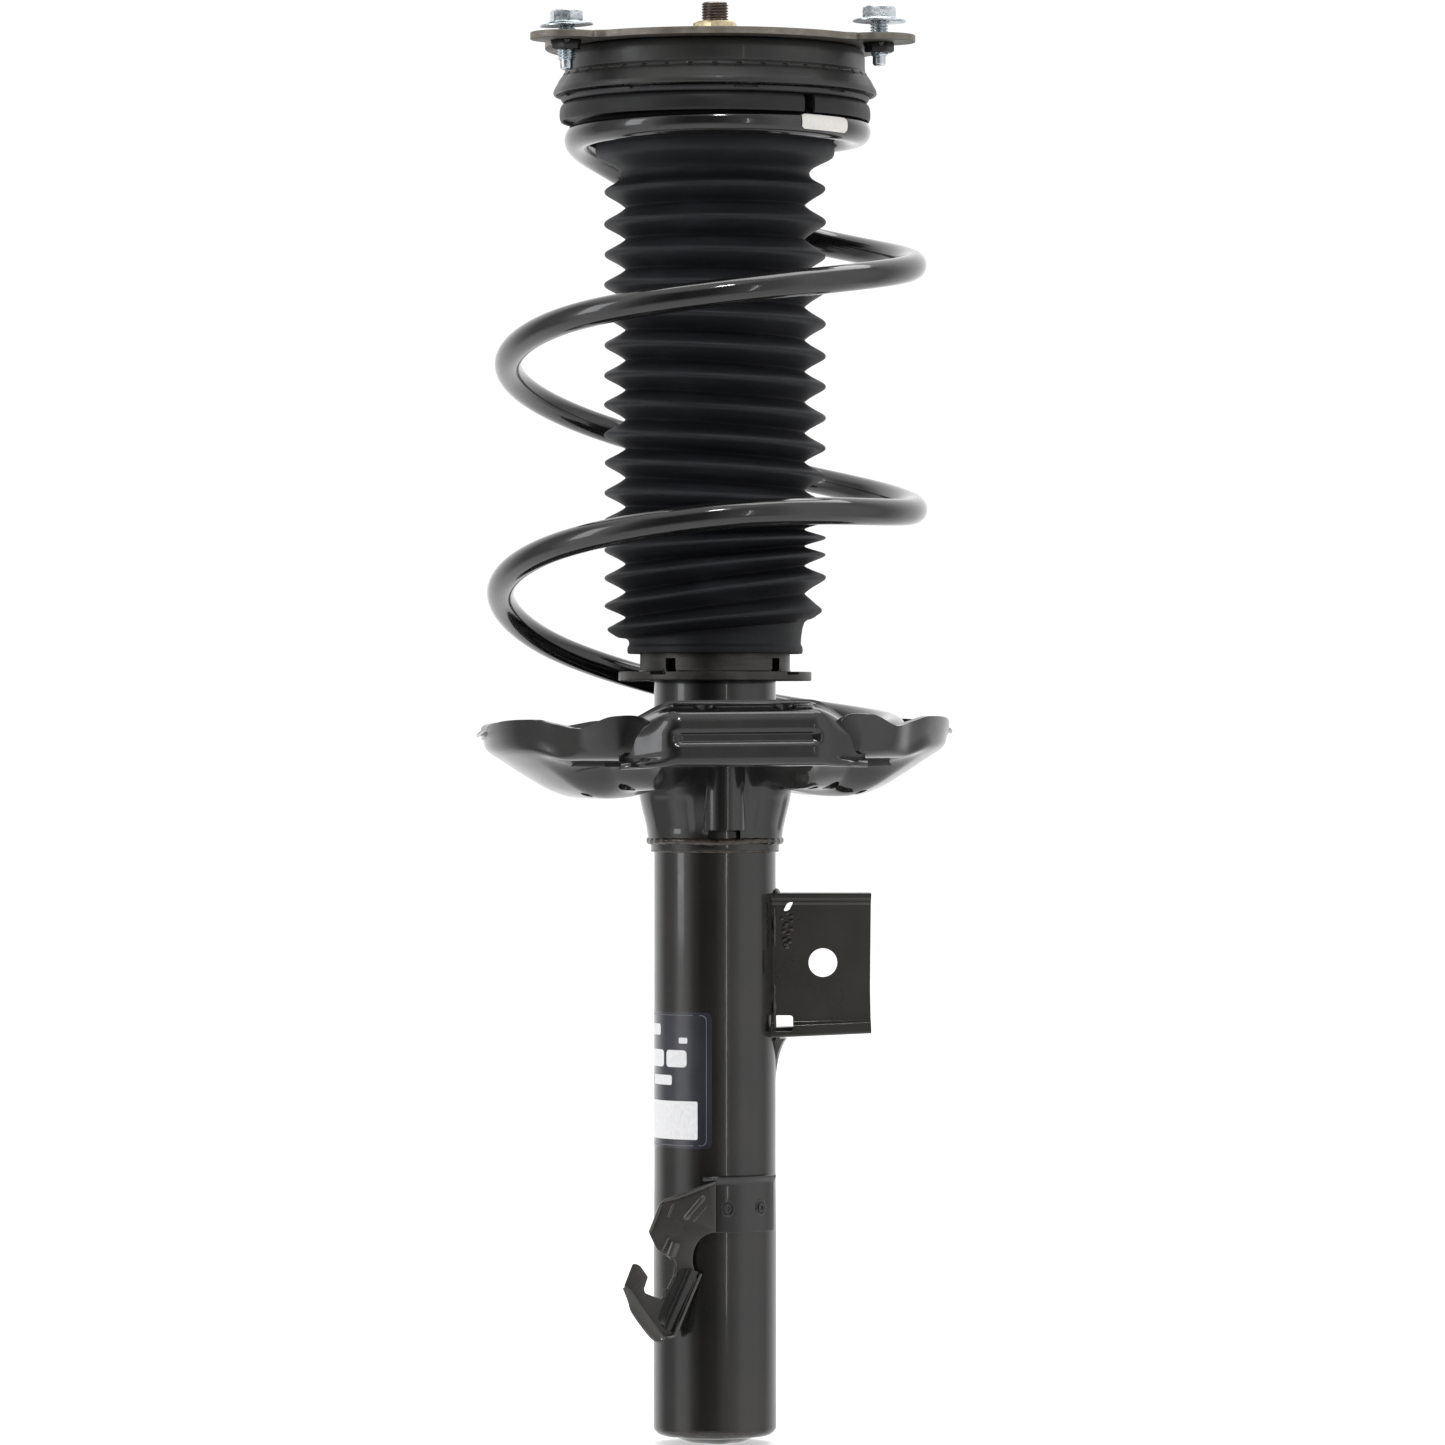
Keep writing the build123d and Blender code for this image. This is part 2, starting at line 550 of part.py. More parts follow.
with BuildPart() as bearing_cage:
    ring(BALL_CIRCLE_R - 4, BALL_CIRCLE_R + 4, CAGE_BOTTOM, CAGE_TOP)
    with PolarLocations(BALL_CIRCLE_R, BALL_COUNT):
        with Locations((0, 0, BALL_HEIGHT)):
            Cylinder(BALL_R + 0.05, 6, mode=Mode.SUBTRACT)
bearing_cage.part.label = "bearing_cage"
export_step(bearing_cage.part, "parts/bearing_cage.step")

with BuildPart() as upper_race:
    race(UPPER_RACE_BOTTOM, UPPER_RACE_TOP)
upper_race.part.label = "upper_race"
export_step(upper_race.part, "parts/upper_race.step")

# ================================================================ top mount
HOUSING_R = 67.0
HOUSING_LIP_R = 72.3
LIP_BOTTOM = 593.9
WEB_R = 42.8
WEB_TOP = 612.1
WEB_FLANGE_TOP = 606.6
RUBBER_LIP_R = 37.9
with BuildPart() as mount_housing:
    turned(
        (71.0, LIP_BOTTOM), (72.0, LIP_BOTTOM), (HOUSING_LIP_R, LIP_BOTTOM + 0.9), (71.4, 597.2),
        (69.2, 601.2), (HOUSING_R, 605.4), (HOUSING_R, 611), (66, 613.6), (64, PLATE_BOTTOM),
        (RUBBER_LIP_R + 0.1, PLATE_BOTTOM), (RUBBER_LIP_R + 0.1, WEB_TOP), (63, WEB_TOP),
        (64.5, 610.4), (64.5, 605.4), (66.2, 601.2), (69.2, 597.4), (70.2, 595.6),
    )
mount_housing.part.label = "mount_housing"
export_step(mount_housing.part, "parts/mount_housing.step")

with BuildPart() as bearing_carrier:
    turned(
        (WEB_R, UPPER_RACE_TOP), (64.4, UPPER_RACE_TOP), (64.4, WEB_FLANGE_TOP),
        (WEB_R + 2.4, WEB_FLANGE_TOP), (WEB_R + 2.4, WEB_TOP), (WEB_R, WEB_TOP),
    )
bearing_carrier.part.label = "bearing_carrier"
export_step(bearing_carrier.part, "parts/bearing_carrier.step")

CORE_R = 17.0
SPIGOT_R = 7.0
CORE_BOTTOM = 596.0
CORE_TOP = 616.0
with BuildPart() as mount_core:
    turned(
        (SPIGOT_R, CORE_BOTTOM), (24, CORE_BOTTOM), (24, CORE_BOTTOM + 2.5),
        (CORE_R, CORE_BOTTOM + 3.5), (CORE_R, CORE_TOP), (SPIGOT_R, CORE_TOP),
    )
mount_core.part.label = "mount_core"
export_step(mount_core.part, "parts/mount_core.step")

with BuildPart() as mount_rubber:
    turned(
        (CORE_R, 600), (26, 600), (WEB_R, 605), (WEB_R, WEB_TOP), (RUBBER_LIP_R, WEB_TOP),
        (RUBBER_LIP_R, 613.4), (30, 614), (CORE_R, 611),
    )
mount_rubber.part.label = "mount_rubber"
export_step(mount_rubber.part, "parts/mount_rubber.step")

EAR_R = 16.0
PLATE_R = 76.0
PLATE_HOLE_R = 31.0
EAR_FILLET_R = 12.0
with BuildPart() as mount_plate:
    with BuildSketch(Plane.XY.offset(PLATE_BOTTOM)) as plate_outline:
        Circle(PLATE_R)
        with PolarLocations(BOLT_CIRCLE_R, 3, start_angle=FIRST_BOLT_ANGLE):
            Circle(EAR_R)
        fillet(plate_outline.vertices(), EAR_FILLET_R)
        Circle(PLATE_HOLE_R, mode=Mode.SUBTRACT)
        with PolarLocations(BOLT_CIRCLE_R, 3, start_angle=FIRST_BOLT_ANGLE):
            Circle(BOLT_R + 0.5, mode=Mode.SUBTRACT)
    extrude(amount=PLATE_TOP - PLATE_BOTTOM)
    rims = mount_plate.faces().sort_by(Axis.Z)[-1].outer_wire().edges()
    chamfer(rims, 0.5)
mount_plate.part.label = "mount_plate"
export_step(mount_plate.part, "parts/mount_plate.step")

WELD_NUT_R = 6.0
WELD_NUT_HEIGHT = 4.6
with BuildPart() as weld_nuts:
    with PolarLocations(BOLT_CIRCLE_R, 3, start_angle=FIRST_BOLT_ANGLE):
        with Locations((0, 0, PLATE_BOTTOM - WELD_NUT_HEIGHT / 2)):
            Cylinder(WELD_NUT_R, WELD_NUT_HEIGHT)
            Cylinder(BOLT_R + 0.03, WELD_NUT_HEIGHT, mode=Mode.SUBTRACT)
weld_nuts.part.label = "weld_nuts"
export_step(weld_nuts.part, "parts/weld_nuts.step")

BOLT_LENGTH = 20.8
WASHER_THICK = 1.5
WASHER_R = 11.8
HEAD_HEIGHT = 5.6
HEAD_FLATS = 13.0
HEAD_TURN = 10.0
with BuildPart() as tower_bolts:
    for angle, lift in zip(BOLT_ANGLES, BOLT_LIFTS):
        underside = WASHER_BOTTOM + WASHER_THICK + lift
        with BuildSketch(Plane.XY.offset(underside)):
            with Locations(around(angle, BOLT_CIRCLE_R)):
                RegularPolygon(HEAD_FLATS / 2, 6, major_radius=False, rotation=HEAD_TURN)
        extrude(amount=HEAD_HEIGHT)
        # Thread from end to end, with the full-size shank only between plate and washer.
        with BuildSketch(Plane.XY.offset(underside)):
            with Locations(around(angle, BOLT_CIRCLE_R)):
                Circle(BOLT_CORE_R)
        extrude(amount=-BOLT_LENGTH)
        with BuildSketch(Plane.XY.offset(PLATE_TOP + 0.1)):
            with Locations(around(angle, BOLT_CIRCLE_R)):
                Circle(BOLT_R)
        extrude(amount=WASHER_BOTTOM + lift - PLATE_TOP - 0.2)
tower_bolts.part.label = "tower_bolts"
export_step(tower_bolts.part, "parts/tower_bolts.step")

with BuildPart() as bolt_washers:
    for angle, lift in zip(BOLT_ANGLES, BOLT_LIFTS):
        with BuildSketch(Plane.XY.offset(WASHER_BOTTOM + lift)):
            with Locations(around(angle, BOLT_CIRCLE_R)):
                Circle(WASHER_R)
                Circle(BOLT_R + 0.2, mode=Mode.SUBTRACT)
        extrude(amount=WASHER_THICK)
bolt_washers.part.label = "bolt_washers"
export_step(bolt_washers.part, "parts/bolt_washers.step")

# ================================================================ piston rod and piston
PISTON_BOTTOM = 268.6
PISTON_TOP = 284.6
LOWER_SPIGOT_R = 5.0
RING_GROOVE_R = 10.0
GROOVE_BOTTOM = 294.7
GROOVE_TOP = 297.0
ROD_BOTTOM = 256.0
ROD_STEP = 286.0         # shoulder that the piston's valve discs sit against
with BuildPart() as piston_rod:
    turned(
        (0, ROD_BOTTOM), (LOWER_SPIGOT_R, ROD_BOTTOM), (LOWER_SPIGOT_R, ROD_STEP),
        (ROD_R, ROD_STEP + 0.8), (ROD_R, GROOVE_BOTTOM), (RING_GROOVE_R, GROOVE_BOTTOM),
        (RING_GROOVE_R, GROOVE_TOP), (ROD_R, GROOVE_TOP), (ROD_R, CORE_BOTTOM - 1),
        (ROD_R - 1, CORE_BOTTOM), (SPIGOT_R, CORE_BOTTOM), (SPIGOT_R, CORE_TOP - 2),
        (THREAD_R, CORE_TOP), (THREAD_R, ROD_TOP - 1), (THREAD_R - 1, ROD_TOP), (0, ROD_TOP),
    )
piston_rod.part.label = "piston_rod"
export_step(piston_rod.part, "parts/piston_rod.step")

PISTON_R = 15.5
PORT_CIRCLE_R = 9.5
PORT_R = 1.3
PORT_COUNT = 8
BAND_INSET = 3.0
with BuildPart() as piston:
    ring(LOWER_SPIGOT_R, PISTON_R, PISTON_BOTTOM, PISTON_TOP)
    with BuildSketch(Plane.XY.offset(PISTON_BOTTOM + BAND_INSET)):
        Circle(PISTON_R + 1)
        Circle(PISTON_R - 1, mode=Mode.SUBTRACT)
    extrude(amount=PISTON_TOP - PISTON_BOTTOM - 2 * BAND_INSET, mode=Mode.SUBTRACT)
    with PolarLocations(PORT_CIRCLE_R, PORT_COUNT):
        with Locations((0, 0, (PISTON_BOTTOM + PISTON_TOP) / 2)):
            Cylinder(PORT_R, 40, mode=Mode.SUBTRACT)
piston.part.label = "piston"
export_step(piston.part, "parts/piston.step")

with BuildPart() as piston_band:
    band_bottom, band_top = PISTON_BOTTOM + BAND_INSET, PISTON_TOP - BAND_INSET
    ring(PISTON_R - 1, CYLINDER_BORE_R - RUNNING_GAP, band_bottom, band_top)
piston_band.part.label = "piston_band"
export_step(piston_band.part, "parts/piston_band.step")

DISC_STACK = 1.4
with BuildPart() as valve_discs:
    ring(LOWER_SPIGOT_R, 12.5, PISTON_TOP, ROD_STEP)
    ring(LOWER_SPIGOT_R, 11.5, PISTON_BOTTOM - DISC_STACK, PISTON_BOTTOM)
valve_discs.part.label = "valve_discs"
export_step(valve_discs.part, "parts/valve_discs.step")

PISTON_NUT_FLATS = 17.0
PISTON_NUT_HEIGHT = 8.0
with BuildPart() as piston_nut:
    with BuildSketch(Plane.XY.offset(PISTON_BOTTOM - DISC_STACK)):
        RegularPolygon(PISTON_NUT_FLATS / 2, 6, major_radius=False)
        Circle(LOWER_SPIGOT_R, mode=Mode.SUBTRACT)
    extrude(amount=-PISTON_NUT_HEIGHT)
piston_nut.part.label = "piston_nut"
export_step(piston_nut.part, "parts/piston_nut.step")

with BuildPart() as stop_ring:
    ring(RING_GROOVE_R, ROD_R + 2.5, GROOVE_BOTTOM, GROOVE_TOP)
stop_ring.part.label = "stop_ring"
export_step(stop_ring.part, "parts/stop_ring.step")

with BuildPart() as rebound_stop:
    ring(ROD_R, CYLINDER_BORE_R - 0.8, GROOVE_TOP, GUIDE_BOTTOM - 0.4)
rebound_stop.part.label = "rebound_stop"
export_step(rebound_stop.part, "parts/rebound_stop.step")

ROD_WASHER_TOP = 618.4
ROD_WASHER_R = 19.0
ROD_NUT_TOP = 627.2
ROD_NUT_FLATS = 18.0
ROD_NUT_TURN = 20.0
CORNER_LIMIT_R = 10.5    # the nut's corners are turned down to this radius
with BuildPart() as rod_washer:
    ring(THREAD_R + 0.2, ROD_WASHER_R, CORE_TOP, ROD_WASHER_TOP)
rod_washer.part.label = "rod_washer"
export_step(rod_washer.part, "parts/rod_washer.step")

with BuildPart() as rod_nut:
    with BuildSketch(Plane.XY.offset(ROD_WASHER_TOP)):
        RegularPolygon(ROD_NUT_FLATS / 2, 6, major_radius=False, rotation=ROD_NUT_TURN)
    extrude(amount=ROD_NUT_TOP - ROD_WASHER_TOP)
    # The corners are turned down to a 30 degree cone at the top.
    with BuildSketch(Plane.XZ) as cone:
        with BuildLine():
            Polyline(
                (0, ROD_WASHER_TOP), (CORNER_LIMIT_R, ROD_WASHER_TOP), (CORNER_LIMIT_R, 626),
                (8.4, ROD_NUT_TOP), (0, ROD_NUT_TOP), close=True,
            )
        make_face()
    revolve(cone.sketch, axis=Axis.Z, mode=Mode.INTERSECT)
    with Locations((0, 0, 622)):
        Cylinder(THREAD_R, 20, mode=Mode.SUBTRACT)
rod_nut.part.label = "rod_nut"
export_step(rod_nut.part, "parts/rod_nut.step")
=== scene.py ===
"""MacPherson strut assembly: the visible pieces and their finishes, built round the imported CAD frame.

Sizes in this file are millimetres, in the frame of the CAD model, and become metres in make_piece.
+Z is up the strut, -Y is the side with the hose bracket, +X the side with the link bracket.
Angles are degrees round the strut axis from +X, so the front is at -90.
"""
from math import cos, degrees, exp, hypot, pi, radians, sin, sqrt, tau

import bmesh
import bpy
from mathutils import Matrix, Vector, noise
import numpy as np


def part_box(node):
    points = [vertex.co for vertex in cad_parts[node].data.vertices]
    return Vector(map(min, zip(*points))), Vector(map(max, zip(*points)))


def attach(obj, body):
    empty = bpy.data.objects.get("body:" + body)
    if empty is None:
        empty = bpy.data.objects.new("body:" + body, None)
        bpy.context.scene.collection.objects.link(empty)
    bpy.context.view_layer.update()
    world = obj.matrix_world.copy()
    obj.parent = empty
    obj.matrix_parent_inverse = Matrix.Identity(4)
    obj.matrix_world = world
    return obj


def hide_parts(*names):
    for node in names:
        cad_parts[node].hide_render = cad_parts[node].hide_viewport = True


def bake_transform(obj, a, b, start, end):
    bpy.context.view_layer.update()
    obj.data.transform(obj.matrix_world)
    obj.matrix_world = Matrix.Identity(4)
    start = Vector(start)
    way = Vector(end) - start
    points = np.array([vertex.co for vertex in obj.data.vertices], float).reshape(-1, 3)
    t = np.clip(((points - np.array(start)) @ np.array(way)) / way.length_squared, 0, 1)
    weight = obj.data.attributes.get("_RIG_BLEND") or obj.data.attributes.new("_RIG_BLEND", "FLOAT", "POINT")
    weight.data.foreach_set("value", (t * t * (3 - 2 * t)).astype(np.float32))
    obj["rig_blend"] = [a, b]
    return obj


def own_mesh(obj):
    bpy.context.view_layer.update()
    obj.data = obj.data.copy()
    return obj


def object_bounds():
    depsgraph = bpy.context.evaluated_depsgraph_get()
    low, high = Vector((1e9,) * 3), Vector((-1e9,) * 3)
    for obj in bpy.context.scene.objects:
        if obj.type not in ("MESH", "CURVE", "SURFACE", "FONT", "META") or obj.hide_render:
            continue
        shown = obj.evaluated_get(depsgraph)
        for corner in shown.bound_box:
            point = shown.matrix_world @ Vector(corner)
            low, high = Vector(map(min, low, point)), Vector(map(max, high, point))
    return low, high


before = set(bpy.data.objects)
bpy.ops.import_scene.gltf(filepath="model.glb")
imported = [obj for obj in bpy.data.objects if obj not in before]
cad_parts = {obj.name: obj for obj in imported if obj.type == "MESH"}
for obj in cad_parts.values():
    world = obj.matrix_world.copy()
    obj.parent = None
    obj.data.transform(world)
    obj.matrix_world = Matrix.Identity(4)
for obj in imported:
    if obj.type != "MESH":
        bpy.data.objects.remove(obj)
cad_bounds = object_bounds()

MM = 0.001
TUBE = "strut_tube"
SEAT = "upper_seat"
MOUNT = "top_mount"


def span(node):
    """Lowest and highest corner of a CAD node, in millimetres."""
    low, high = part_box(node)
    return [v / MM for v in low], [v / MM for v in high]


# ================================================================ node trees
def add(tree, kind, inputs=None, **settings):
    """A shader node. Inputs are numbers, colours or other nodes' sockets, by name or by number."""
    node = tree.nodes.new(kind)
    for key, value in settings.items():
        setattr(node, key, value)
    for key, value in (inputs or {}).items():
        if isinstance(value, bpy.types.NodeSocket):
            tree.links.new(value, node.inputs[key])
        else:
            node.inputs[key].default_value = value
    return node


def start_material(name, **sockets):
    """A new material: its tree, its Principled shader and its object coordinates."""
    material = bpy.data.materials.new(name)
    material.use_nodes = True
    tree = material.node_tree
    shader = tree.nodes["Principled BSDF"]
    for key, value in sockets.items():
        shader.inputs[key.replace("_", " ")].default_value = value
    place = add(tree, "ShaderNodeTexCoord").outputs["Object"]
    return material, tree, shader, place


def scaled(tree, place, factors):
    """Coordinates stretched by a factor along each axis, for brushed or turned marks."""
    return add(tree, "ShaderNodeMapping", {"Vector": place, "Scale": factors}).outputs["Vector"]


def cloudy(tree, place, scale, detail=4.0, low=0.35, high=0.65):
    """Noise that runs from 0 to 1."""
    texture = add(tree, "ShaderNodeTexNoise", {"Vector": place, "Scale": scale, "Detail": detail})
    limits = {"Value": texture.outputs["Fac"], "From Min": low, "From Max": high}
    return add(tree, "ShaderNodeMapRange", limits).outputs["Result"]


def spread(tree, factor, low, high):
    """A factor from 0 to 1 mapped to low..high."""
    limits = {"Value": factor, "To Min": low, "To Max": high}
    return add(tree, "ShaderNodeMapRange", limits).outputs["Result"]


def blended(tree, factor, first, second):
    """Colour between two colours, or sockets, by a factor."""
    node = add(tree, "ShaderNodeMix", data_type="RGBA")
    for number, value in ((0, factor), (6, first), (7, second)):
        if isinstance(value, bpy.types.NodeSocket):
            tree.links.new(value, node.inputs[number])
        else:
            node.inputs[number].default_value = value
    return node.outputs[2]


def set_bump(tree, shader, layers):
    """Bump from (height socket, strength, depth in metres) layers, one over the other."""
    normal = None
    for height, strength, depth in layers:
        inputs = {"Height": height, "Strength": strength, "Distance": depth}
        if normal is not None:
            inputs["Normal"] = normal
        normal = add(tree, "ShaderNodeBump", inputs).outputs["Normal"]
    tree.links.new(normal, shader.inputs["Normal"])


def rgb(red, green, blue):
    return (red, green, blue, 1.0)


def paint(name, colour, tint, rough=(0.1, 0.22), peel=0.12, coat=0.5, dust=0.5):
    """Gloss or satin black paint: uneven colour, orange peel, fine dust and thin spots."""
    material, tree, shader, place = start_material(name, Coat_Weight=coat, Coat_Roughness=0.05)
    patches = cloudy(tree, place, 26.0, 5.0)
    base = blended(tree, patches, rgb(*colour), rgb(*tint))
    specks = cloudy(tree, place, 1900.0, 2.0, 0.68, 0.76)
    grime = cloudy(tree, place, 90.0, 6.0, 0.5, 0.8)
    mask = add(tree, "ShaderNodeMath", {0: specks, 1: grime}, operation="MULTIPLY").outputs[0]
    faint = spread(tree, mask, 0.0, 0.6 * dust)
    base = blended(tree, faint, base, rgb(0.16, 0.15, 0.14))
    tree.links.new(base, shader.inputs["Base Color"])
    sheen = cloudy(tree, place, 60.0, 6.0)
    tree.links.new(spread(tree, sheen, *rough), shader.inputs["Roughness"])
    ripple = cloudy(tree, place, 420.0, 3.0, 0.2, 0.8)
    runs = cloudy(tree, scaled(tree, place, (1.0, 1.0, 0.25)), 70.0, 2.0, 0.2, 0.8)
    set_bump(tree, shader, [(runs, 0.25, 0.0002), (ripple, peel, 0.0001), (specks, 0.3, 0.00008)])
    return material


def rubber(name, colour, bloom, rough=(0.55, 0.75), grain=900.0):
    """Matt moulded rubber with a pale bloom, fine grain and faint flow marks."""
    material, tree, shader, place = start_material(name, Specular_IOR_Level=0.35)
    cloud = cloudy(tree, place, 34.0, 7.0, 0.4, 0.75)
    streak = cloudy(tree, scaled(tree, place, (1.0, 1.0, 5.0)), 55.0, 4.0, 0.45, 0.8)
    marks = add(tree, "ShaderNodeMath", {0: cloud, 1: streak}, operation="MULTIPLY").outputs[0]
    tree.links.new(blended(tree, marks, rgb(*colour), rgb(*bloom)), shader.inputs["Base Color"])
    tree.links.new(spread(tree, cloud, *rough), shader.inputs["Roughness"])
    fine = cloudy(tree, place, grain, 5.0, 0.2, 0.8)
    set_bump(tree, shader, [(streak, 0.15, 0.0003), (fine, 0.25, 0.00008)])
    return material


def steel(name, dark, light, rough=(0.25, 0.45), marks=(1.0, 1.0, 40.0), scale=60.0, metallic=1.0):
    """Bare or plated metal with machining marks along one direction, stains and fine pits."""
    material, tree, shader, place = start_material(name, Metallic=metallic)
    brushed = cloudy(tree, scaled(tree, place, marks), scale, 3.0, 0.3, 0.7)
    stains = cloudy(tree, place, 120.0, 6.0, 0.4, 0.7)
    both = add(tree, "ShaderNodeMath", {0: brushed, 1: stains}, operation="MULTIPLY").outputs[0]
    tree.links.new(blended(tree, both, rgb(*dark), rgb(*light)), shader.inputs["Base Color"])
    tree.links.new(spread(tree, stains, *rough), shader.inputs["Roughness"])
    pits = cloudy(tree, place, 1500.0, 2.0, 0.3, 0.7)
    set_bump(tree, shader, [(brushed, 0.12, 0.0001), (pits, 0.12, 0.00005)])
    return material


def plated(name, dark, light, flash):
    """Zinc plate: crystal patches, coloured passivation and handling stains."""
    material, tree, shader, place = start_material(name, Metallic=1.0)
    cells = add(tree, "ShaderNodeTexVoronoi", {"Vector": place, "Scale": 900.0}).outputs["Color"]
    grain = add(tree, "ShaderNodeSeparateColor", {"Color": cells}).outputs["Red"]
    base = blended(tree, grain, rgb(*dark), rgb(*light))
    film = spread(tree, cloudy(tree, place, 160.0, 5.0, 0.45, 0.75), 0.0, 0.55)
    base = blended(tree, film, base, rgb(*flash))
    tree.links.new(base, shader.inputs["Base Color"])
    tree.links.new(spread(tree, grain, 0.2, 0.38), shader.inputs["Roughness"])
    fine = cloudy(tree, place, 2200.0, 3.0, 0.3, 0.7)
    set_bump(tree, shader, [(fine, 0.15, 0.00004)])
    return material


def cellular(name):
    """Cellular foam with an open-pored moulded skin."""
    material, tree, shader, place = start_material(name, Specular_IOR_Level=0.3)
    pores = add(tree, "ShaderNodeTexVoronoi", {"Vector": place, "Scale": 1400.0}).outputs["Distance"]
    cloud = cloudy(tree, place, 80.0, 6.0)
    base = blended(tree, cloud, rgb(0.46, 0.37, 0.2), rgb(0.58, 0.5, 0.31))
    shade = spread(tree, pores, 0.0, 0.6)
    base = blended(tree, shade, base, rgb(0.3, 0.23, 0.12))
    tree.links.new(base, shader.inputs["Base Color"])
    tree.links.new(spread(tree, cloud, 0.65, 0.85), shader.inputs["Roughness"])
    set_bump(tree, shader, [(pores, 0.5, 0.0003)])
    return material


def plastic(name, colour, second, rough=(0.35, 0.5), gloss=0.0):
    """Moulded plastic or printed film with a fine spark-eroded grain and flow shading."""
    material, tree, shader, place = start_material(name, Coat_Weight=gloss, Coat_Roughness=0.08)
    flow = cloudy(tree, place, 40.0, 5.0)
    tree.links.new(blended(tree, flow, rgb(*colour), rgb(*second)), shader.inputs["Base Color"])
    tree.links.new(spread(tree, flow, *rough), shader.inputs["Roughness"])
    grain = cloudy(tree, place, 1300.0, 3.0, 0.3, 0.7)
    set_bump(tree, shader, [(grain, 0.12, 0.00005)])
    return material


def paper(name, colour, second):
    """Coated paper with fibres."""
    material, tree, shader, place = start_material(name)
    fibres = cloudy(tree, scaled(tree, place, (1.0, 4.0, 1.0)), 500.0, 6.0)
    tree.links.new(blended(tree, fibres, rgb(*colour), rgb(*second)), shader.inputs["Base Color"])
    tree.links.new(spread(tree, fibres, 0.5, 0.7), shader.inputs["Roughness"])
    set_bump(tree, shader, [(fibres, 0.2, 0.00005)])
    return material


def weld_metal(name):
    """Painted weld bead: glossy, with spatter and burnt brown spots."""
    material, tree, shader, place = start_material(name, Coat_Weight=0.4, Coat_Roughness=0.1)
    cloud = cloudy(tree, place, 300.0, 5.0)
    tree.links.new(
        blended(tree, cloud, rgb(0.012, 0.011, 0.01), rgb(0.06, 0.045, 0.032)),
        shader.inputs["Base Color"],
    )
    tree.links.new(spread(tree, cloud, 0.18, 0.45), shader.inputs["Roughness"])
    lumps = cloudy(tree, place, 700.0, 4.0, 0.2, 0.8)
    set_bump(tree, shader, [(lumps, 0.5, 0.0003)])
    return material


M = {
    "tube": paint("tube_black", (0.007, 0.0065, 0.006), (0.014, 0.012, 0.01), (0.12, 0.22), 0.1),
    "seat": paint("seat_black", (0.008, 0.008, 0.008), (0.015, 0.014, 0.013), (0.09, 0.2), 0.1),
    "bracket": paint("bracket_black", (0.022, 0.021, 0.018), (0.036, 0.034, 0.029), (0.26, 0.4), 0.14),
    "bracket_gloss": paint("bracket_gloss", (0.032, 0.031, 0.029), (0.05, 0.047, 0.044), (0.2, 0.32), 0.12),
    "spring": paint("spring_black", (0.006, 0.006, 0.006), (0.011, 0.01, 0.01), (0.08, 0.18), 0.1, 0.7),
    "housing": paint("housing_satin", (0.022, 0.022, 0.022), (0.035, 0.034, 0.032), (0.34, 0.5), 0.2, 0.1),
    "plate": paint("plate_phosphate", (0.035, 0.031, 0.026), (0.06, 0.054, 0.046), (0.42, 0.6), 0.3, 0.0),
    "plate_edge": steel("plate_sheared", (0.2, 0.18, 0.15), (0.36, 0.33, 0.28), (0.4, 0.6), (1, 1, 4.0),
                        300.0, 0.6),
    "cap": steel("cap_phosphate", (0.06, 0.058, 0.055), (0.13, 0.125, 0.12), (0.35, 0.5), (1, 1, 12.0),
                 40.0, 0.7),
    "steel": steel("plain_steel", (0.4, 0.4, 0.41), (0.62, 0.62, 0.62)),
    "chrome": steel("ground_chrome", (0.66, 0.67, 0.7), (0.8, 0.8, 0.82), (0.06, 0.14), (1, 1, 90.0)),
    "thread": steel("thread_phosphate", (0.16, 0.13, 0.11), (0.46, 0.4, 0.35), (0.3, 0.5), (1, 1, 2.0),
                    200.0),
    "zinc": plated("bright_zinc", (0.5, 0.56, 0.6), (0.82, 0.88, 0.92), (0.6, 0.68, 0.74)),
    "nut": steel("nut_dark", (0.035, 0.035, 0.036), (0.11, 0.11, 0.115), (0.3, 0.42), (1, 1, 3.0),
                 200.0, 0.8),
    "yellow_zinc": plated("yellow_zinc", (0.6, 0.5, 0.28), (0.85, 0.76, 0.5), (0.72, 0.55, 0.4)),
    "boot": rubber("boot_rubber", (0.012, 0.013, 0.016), (0.03, 0.032, 0.039), (0.5, 0.68)),
    "isolator": rubber("isolator_rubber", (0.016, 0.016, 0.017), (0.034, 0.034, 0.035), (0.42, 0.6)),
    "seal": rubber("nitrile_seal", (0.03, 0.07, 0.04), (0.05, 0.11, 0.06), (0.4, 0.5)),
    "foam": cellular("stop_foam"),
    "race": plastic("race_plastic", (0.02, 0.02, 0.023), (0.036, 0.036, 0.039)),
    "cage": plastic("cage_nylon", (0.5, 0.46, 0.36), (0.62, 0.58, 0.47)),
    "band": plastic("band_plastic", (0.05, 0.05, 0.05), (0.09, 0.09, 0.09), (0.3, 0.4)),
    "bronze": steel("sintered_bronze", (0.35, 0.22, 0.1), (0.6, 0.42, 0.24), (0.3, 0.5), (1, 1, 1.0), 300.0),
    "film": plastic("label_film", (0.02, 0.021, 0.028), (0.034, 0.035, 0.044), (0.1, 0.16), 0.8),
    "print_grey": plastic("label_grey_ink", (0.12, 0.12, 0.13), (0.16, 0.16, 0.17), (0.3, 0.4)),
    "print_white": paper("label_white_ink", (0.8, 0.8, 0.82), (0.9, 0.9, 0.9)),
    "tag": paper("tag_paper", (0.84, 0.82, 0.78), (0.92, 0.9, 0.86)),
    "weld": weld_metal("weld_bead"),
}


# ================================================================ mesh helpers
def around(angle, radius, height):
    return (radius * cos(radians(angle)), radius * sin(radians(angle)), height)


